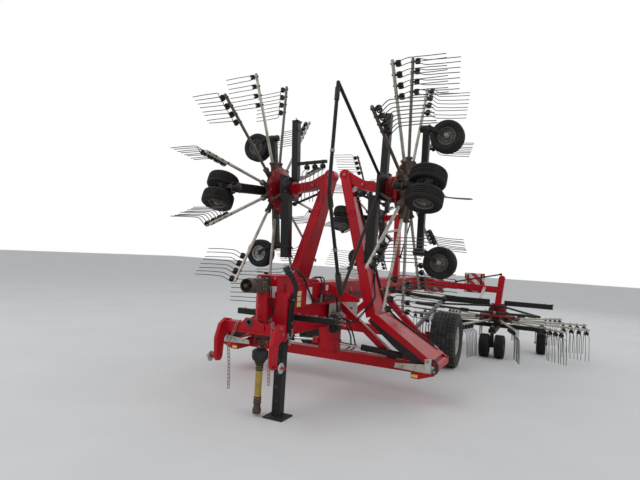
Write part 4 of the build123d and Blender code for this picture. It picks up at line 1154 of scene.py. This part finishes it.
def coupling_plate():
    # Zinc skin of the scalloped plate, its bulkhead couplings and the valve block at its front end.
    y0, y1, z0, z1 = -0.37, 0.58, 0.825, 1.042
    outline = [(y0 + 0.06, z0)]
    for i in range(4):
        y = y0 + 0.17 + i * 0.19
        outline += [(y - 0.055 * cos(pi * k / 10), z0 + 0.055 * sin(pi * k / 10))
                    for k in range(11)]
    outline += [(y1 - 0.03, z0), (y1, z0 + 0.04), (y1, z1), (y0, z1), (y0, z0 + 0.06)]
    kit = Kit()
    face = move(0.1322, 0, 0) @ YZ
    kit.slab(shrink(outline, -0.0007), 0, 0.0097, 0, face)
    for i in range(4):
        y = y0 + 0.265 + i * 0.19 if i < 3 else y0 + 0.075
        at = move(PLATE_X, y, 0.945) @ turn("Y", 90)
        kit.slab(circle(0.021, 6), 0, 0.012, 1, at, 0.001)
        kit.lathe(mm((0, 50), (10.5, 50), (12.5, 46), (12.5, 34), (15.5, 32), (15.5, 12), (0, 12)), 1, at, 16)
    for y in (-0.35, 0.11, 0.555):
        kit.bolt(move(PLATE_X, y, 1.02) @ turn("Y", 90), 0.01, 1)
    kit.make("coupling_plate_skin", [ZINC_GREY, BOLT], "frame")
    kit = Kit()
    kit.block(PLATE_X, 0.235, -0.35, -0.225, 0.69, 0.905, 0, None, 0.006)
    kit.block(PLATE_X, 0.25, -0.34, -0.235, 0.735, 0.76, 0, None, 0.003)
    kit.lathe(mm((0, 52), (30, 52), (40, 46), (46, 30), (46, 0), (0, 0)), 2,
              facing_front(0.19, -0.35, 0.735), 36)
    for z in (0.79, 0.835, 0.88):
        kit.lathe(mm((0, 40), (9, 40), (12, 34), (12, 12), (16, 10), (16, 0), (0, 0)), 1,
                  move(0.235, -0.287, z) @ turn("Y", 90), 16)
        kit.cap(16, 44, 2, 4, 0, facing_front(0.19, -0.35, z + 0.006), 16)
    kit.make("valve_block", [DARK_PLASTIC, BOLT, BLACK], "frame")
    kit = Kit()
    tidy_hose(kit, 0, mm((297, -287, 790), (345, -285, 775), (372, -200, 660), (330, -65, 500),
              (262, -62, 452)), 0.0095, 1, 0.1)
    tidy_hose(kit, 0, mm((297, -287, 835), (365, -285, 835), (412, -225, 690), (395, -62, 500),
              (330, -60, 455)), 0.0095, 1, 0.1)
    for i, z in enumerate((1.085, 1.109)):
        tidy_hose(kit, 0, [(0.035 + 0.035 * i, -1.262, 1.425), (0.05 + 0.035 * i, -1.215, 1.472 - 0.014 * i),
                  (0.14, -1.12, 1.405 - 0.02 * i), (0.166 - 0.004 * i, -1.01, 1.22),
                  (0.148, -0.86, z + 0.015), (0.1405, -0.72, z), (0.1405, -0.645, z)], 0.0095, 1, 0.1)
    for i, z in enumerate((1.133, 1.157)):
        tidy_hose(kit, 0, [(-0.03, -0.6 + 0.09 * i, 1.332), (0.03, -0.6 + 0.09 * i, 1.372),
                  (0.12, -0.62 + 0.08 * i, 1.365), (0.155, -0.66 + 0.06 * i, 1.27), (0.15, -0.7, z + 0.02),
                  (0.1405, -0.665, z), (0.1405, -0.64, z)], 0.0085, 1, 0.06)
    kit.make("beam_hoses", [HOSE, BOLT], "frame")


def board_bolts():
    kit = Kit()
    y = BOARD_Y
    for side in (-1, 1):
        for x in (0.26, 0.54):
            for z in (1.06, 1.24):
                kit.bolt(move(side * x, y + 0.0642, z) @ turn("X", -90), 0.009, 0)
    kit.make("board_bolts", [BOLT], "frame")


def beam_web():
    # Lower box of the beam between the head and the wings' carrier, with its bolts on the cross bar.
    kit = Kit()
    side = mm((-1400, 1044), (-1400, 880), (-1290, 752), (-107, 752), (-107, 1044))
    kit.slab(side, -0.07, 0.07, 0, YZ, 0.004)
    for s in (-1, 1):
        kit.block(s * 0.07, s * 0.082, -1.28, -0.107, 0.75, 0.762, 0, None, 0.002)
        weld(kit, [(s * 0.071, -1.395, 1.044), (s * 0.071, -0.11, 1.044)], 0.004)
    kit.make("beam_lower_box", [RED], "frame")
    kit = Kit()
    for x, size in ((0.227, 0.019), (0.32, 0.01), (0.385, 0.01), (0.43, 0.019), (0.532, 0.011),
                    (0.602, 0.011), (-0.2, 0.012), (-0.33, 0.012), (-0.44, 0.012)):
        kit.bolt(move(x, -1.35, 1.0), size, 0)
    kit.make("cross_bar_bolts", [BOLT], "frame")
    kit = Kit()
    for s in (-1, 1):
        # Bracket plate beside the beam.
        outline = [(s * 0.13, 1.296), (s * 0.13, 1.2), (s * 0.33, 1.086), (s * 0.545, 1.1),
                   (s * 0.545, 1.14)]
        wall = facing_front(0, -0.42, 0)
        kit.slab(outline, -0.01, 0.0, 0, wall, 0.002)
    kit.make("beam_brackets", [RED], "frame")
    kit = Kit()
    for s in (-1, 1):
        # Zinc plate and dark latch hook at the wing's hinge, with their bolts.
        wall = facing_front(0, -0.3785, 0)
        kit.slab([(s * x, z) for x, z in ((1.37, 0.395), (1.425, 0.395), (1.425, 0.545), (1.352, 0.54),
                 (1.352, 0.47))], 0, 0.014, 0, wall, 0.003)
        kit.slab([(s * x, z) for x, z in ((1.435, 0.392), (1.485, 0.385), (1.512, 0.43), (1.506, 0.5),
                 (1.47, 0.548), (1.432, 0.55), (1.43, 0.515), (1.466, 0.5), (1.474, 0.455),
                 (1.44, 0.43))], 0, 0.02, 1, wall, 0.004)
        kit.bolt(facing_front(s * 1.462, -0.3985, 0.412), 0.014, 2)
        for x, z in ((1.1, 0.432), (1.24, 0.44), (1.385, 0.515)):
            kit.bolt(facing_front(s * x, -0.3785 - (0.014 if x > 1.35 else 0), z), 0.011, 2)
    kit.make("latch_hooks", [ZINC_GREY, DARK_PLASTIC, BOLT], "frame")


def thin_cables():
    # Brake cable and lamp lead clipped from the head's gearbox down its front left corner.
    kit = Kit()
    for dx, low in ((0.0, 0.975), (0.02, 1.03)):
        kit.tube(fillet([(0.04 + dx, -1.8, 1.368), (0.045 + dx, -1.8, 1.402), (0.078 + dx, -1.745, 1.395),
                 (0.08 + dx, -1.715, 1.25), (0.084 + dx, -1.7, 1.12), (0.098 + dx * 0.4, -1.655, 1.05),
                 (0.1 + dx * 0.4, -1.646, low)], 0.05, 5), 0.0052, 0, None, 8)
    kit.block(0.086, 0.118, -1.652, -1.64, 1.028, 1.044, 1, None, 0.002)
    kit.tube(fillet(mm((205, -287, 900), (205, -287, 985), (185, -270, 1120), (150, -262, 1165),
             (128, -262, 1170)), 0.06, 5), 0.0115, 0, None, 10)
    for at in (move(0.205, -0.287, 0.905), move(0.131, -0.262, 1.17) @ turn("Y", 90)):
        kit.lathe(mm((0, 34), (13, 34), (17, 28), (17, 4), (20, 0), (0, 0)), 2, at, 16)
    run = mm((250, -287, 880), (300, -290, 868), (400, -278, 835), (470, -272, 858), (500, -270, 905))
    kit.tube(fillet(run, 0.08, 5), 0.0105, 0, None, 10)
    kit.cap(17, 40, 4, 6, 2, look(run[-2], run[-1]) @ move(0, 0, 0.052), 16)
    kit.make("head_cables", [HOSE, DARK_PLASTIC, BOLT], "frame")


def lock_bar(w):
    # Zinc flat bar from the boom's underside to the gear head's plate.
    kit = Kit(wing_matrix(w))
    a, b = Vector(LOCK_BAR[0]), Vector(LOCK_BAR[1])
    at = look(a, b, (0, 1, 0))
    n = (b - a).length
    kit.slab(mm((-4, -24), (4, -24), (4, 24), (-4, 24)), -0.02, n + 0.02, 0, at, 0.001)
    for z in (0.004, n - 0.004):
        for s in (-1, 1):
            kit.bolt(at @ facing_x(s, s * 0.004, 0, z), 0.012, 1)
    kit.make(w.name + "_lock_bar", [ZINC_GREY, BOLT], w.name + "_wing")


def hub_rods(w):
    # Short brown rod with a round end beside the gear head.
    kit = Kit(wing_matrix(w))
    a, b = Vector((-0.09, -0.3, 0.2)), Vector((-0.165, -0.305, 0.06))
    at = look(a, b)
    n = (b - a).length
    kit.lathe([(0, 0), (0.018, 0), (0.018, n - 0.012), (0.029, n - 0.006), (0.031, n + 0.004),
              (0.026, n + 0.014), (0, n + 0.016)], 0, at, 24)
    kit.make(w.name + "_hub_rod", [BROWN], w.name + "_wing")


def boom_foot_cover(w):
    # Smooth cover over the foot's ribs, and a strip of dark hose rubber under its front side as painted shade
    # of the foot's hollow underside.
    kit = Kit(side_matrix(w))
    a = BOOM_FOOT
    b = BOOM_BEND
    along = (b - a).normalized()
    up = Vector((-along.z, 0, along.x)) * -1
    at = Matrix(((along.x, 0, up.x, a.x), (0, 1, 0, 0), (along.z, 0, up.z, a.z), (0, 0, 0, 1)))
    if at.determinant() < 0:
        at = at @ Matrix.Diagonal((1, -1, 1, 1))
    n = (b - a).length
    kit.slab([(0.055, -0.338), (n - 0.05, -0.24), (n - 0.05, 0.24), (0.055, 0.338)], 0.064, 0.071, 0, at,
             0.002)
    # Dark strip under the cover's front edge: painted shade where the hollow foot lies in shadow.
    edge = [(0.06, -0.064), (0.06, 0), (0.25, 0.004), (0.56, -0.012), (n - 0.03, -0.022),
            (n - 0.02, -0.064), (0.7, -0.078), (0.52, -0.092), (0.33, -0.094), (0.18, -0.086)]
    # The sides run in towards the bend.
    taper, half = 0.1117, 0.3412
    for s in (-1, 1):
        skew = Matrix(((1, 0, 0, 0), (-s * taper, 0, -s, s * half), (0, 1, 0, 0), (0, 0, 0, 1)))
        kit.slab(edge, -0.0035, -0.0005, 1, at @ skew, 0.0)
    kit.make(w.name + "_foot_cover", [RED, HOSE], w.name + "_wing")


def fork_far_arm(w):
    # Second leg of each castor fork, on the wheel's free side.
    turned = wing_matrix(w, True)
    axle_z = SMALL_R - DISH_ABOVE
    top = BEAM_LEVEL - 0.0445
    knee = SMALL_W / 2 + 0.014
    for name, at in castor_places(w):
        kit = Kit(turned)
        kit.block(-knee - 0.012, -0.038, -0.03, 0.03, top - 0.014, top - 0.001, 0, at, 0.003)
        wall = at @ YZ
        kit.slab([(-0.026, top - 0.003), (0.026, top - 0.003), (FORK_TRAIL + 0.022, axle_z + 0.004),
                 (FORK_TRAIL + 0.004, axle_z - 0.022), (FORK_TRAIL - 0.022, axle_z - 0.004)], -knee - 0.012,
                 -knee, 0, wall, 0.003)
        kit.cap(26, 10, 6, 6, 1, at @ move(-knee - 0.012, FORK_TRAIL, axle_z) @ turn("Y", -90), 20)
        kit.tube([at @ Vector((-knee - 0.004, FORK_TRAIL, axle_z)),
                 at @ Vector((-SMALL_W / 2 + 0.012, FORK_TRAIL, axle_z))], 0.01, 0, None, 12)
        kit.make(w.name + "_fork_leg_" + name, [BLACK, BOLT], w.name + "_fork_" + name)


stickers()
beam_welds()
beam_web()
thin_cables()
pin_ends()
head_trim()
lid_bolts()
hitch_trim()
drive_shaft()
leg_trim()
head_hoses()
coupling_plate()
rest_trim()
left_board()
board_bolts()
stored_tines()
for wing in WINGS:
    gear_head_trim(wing)
    post_trim(wing)
    carriage_trim(wing)
    fork_far_arm(wing)
    if wing.guard:
        guard_trim(wing)
    if wing.kind == "front":
        front_boom_trim(wing)
        cylinder_trim(wing)
        hub_rods(wing)
        boom_foot_cover(wing)
    else:
        lock_bar(wing)


# Floor, world, lamps and camera
def stage():
    mesh = bpy.data.meshes.new("floor")
    s = 60
    mesh.from_pydata([(-s, -s, 0), (s, -s, 0), (s, s, 0), (-s, s, 0)], [], [(0, 1, 2, 3)])
    floor = bpy.data.objects.new("floor", mesh)
    bpy.context.scene.collection.objects.link(floor)
    m = Mat("floor_pale")
    m.finish(m.mix(m.noise(0.8, 3), (0.8, 0.8, 0.79), (0.77, 0.77, 0.76)), 0.9, spec=0.1)
    mesh.materials.append(m.m)

    world = bpy.data.worlds.new("studio")
    bpy.context.scene.world = world
    world.use_nodes = True
    t = world.node_tree
    t.nodes.clear()
    kinds = ("OutputWorld", "MixShader", "Background", "Background", "LightPath", "Math", "Math")
    out, mix, lit, seen, path, a, b = (t.nodes.new("ShaderNode" + kind) for kind in kinds)
    lit.inputs[0].default_value = (0.93, 0.96, 1.0, 1)
    lit.inputs[1].default_value = 0.55
    seen.inputs[0].default_value = (1, 1, 1, 1)
    seen.inputs[1].default_value = 1.0
    a.operation = "ADD"
    b.operation = "ADD"
    b.use_clamp = True
    for source, target in ((path.outputs["Is Camera Ray"], a.inputs[0]),
                           (path.outputs["Is Glossy Ray"], a.inputs[1]), (a.outputs[0], b.inputs[0]),
                           (path.outputs["Is Transmission Ray"], b.inputs[1]), (b.outputs[0], mix.inputs[0]),
                           (lit.outputs[0], mix.inputs[1]), (seen.outputs[0], mix.inputs[2]),
                           (mix.outputs[0], out.inputs[0]),):
        t.links.new(source, target)

    for name, place, aim, size, power in (("key", (-7, -9, 11), (0, 0, 1.5), 9, 420),
            ("fill", (9, -3, 8), (0, 0, 1.5), 8, 120), ("back", (2, 11, 9), (0, 0, 2), 8, 160)):
        data = bpy.data.lights.new(name, "AREA")
        data.shape = "DISK"
        data.size = size
        data.energy = power
        obj = bpy.data.objects.new(name, data)
        bpy.context.scene.collection.objects.link(obj)
        obj.matrix_world = look(place, aim) @ turn("X", 180)


def camera():
    data = bpy.data.cameras.new("camera")
    data.sensor_fit = "HORIZONTAL"
    data.sensor_width = 36
    data.lens = 36 * 483.349 / 640
    data.clip_end = 200
    cam = bpy.data.objects.new("camera", data)
    bpy.context.scene.collection.objects.link(cam)
    yaw, pitch, roll = 25.768, 1.821, 3.383
    aim = turn("Z", yaw) @ turn("X", 90 + pitch) @ turn("Z", roll)
    cam.matrix_world = MACHINE @ move(2.596, -5.848, 1.632) @ aim
    bpy.context.scene.camera = cam


stage()
camera()
bpy.context.scene.view_settings.view_transform = "Standard"
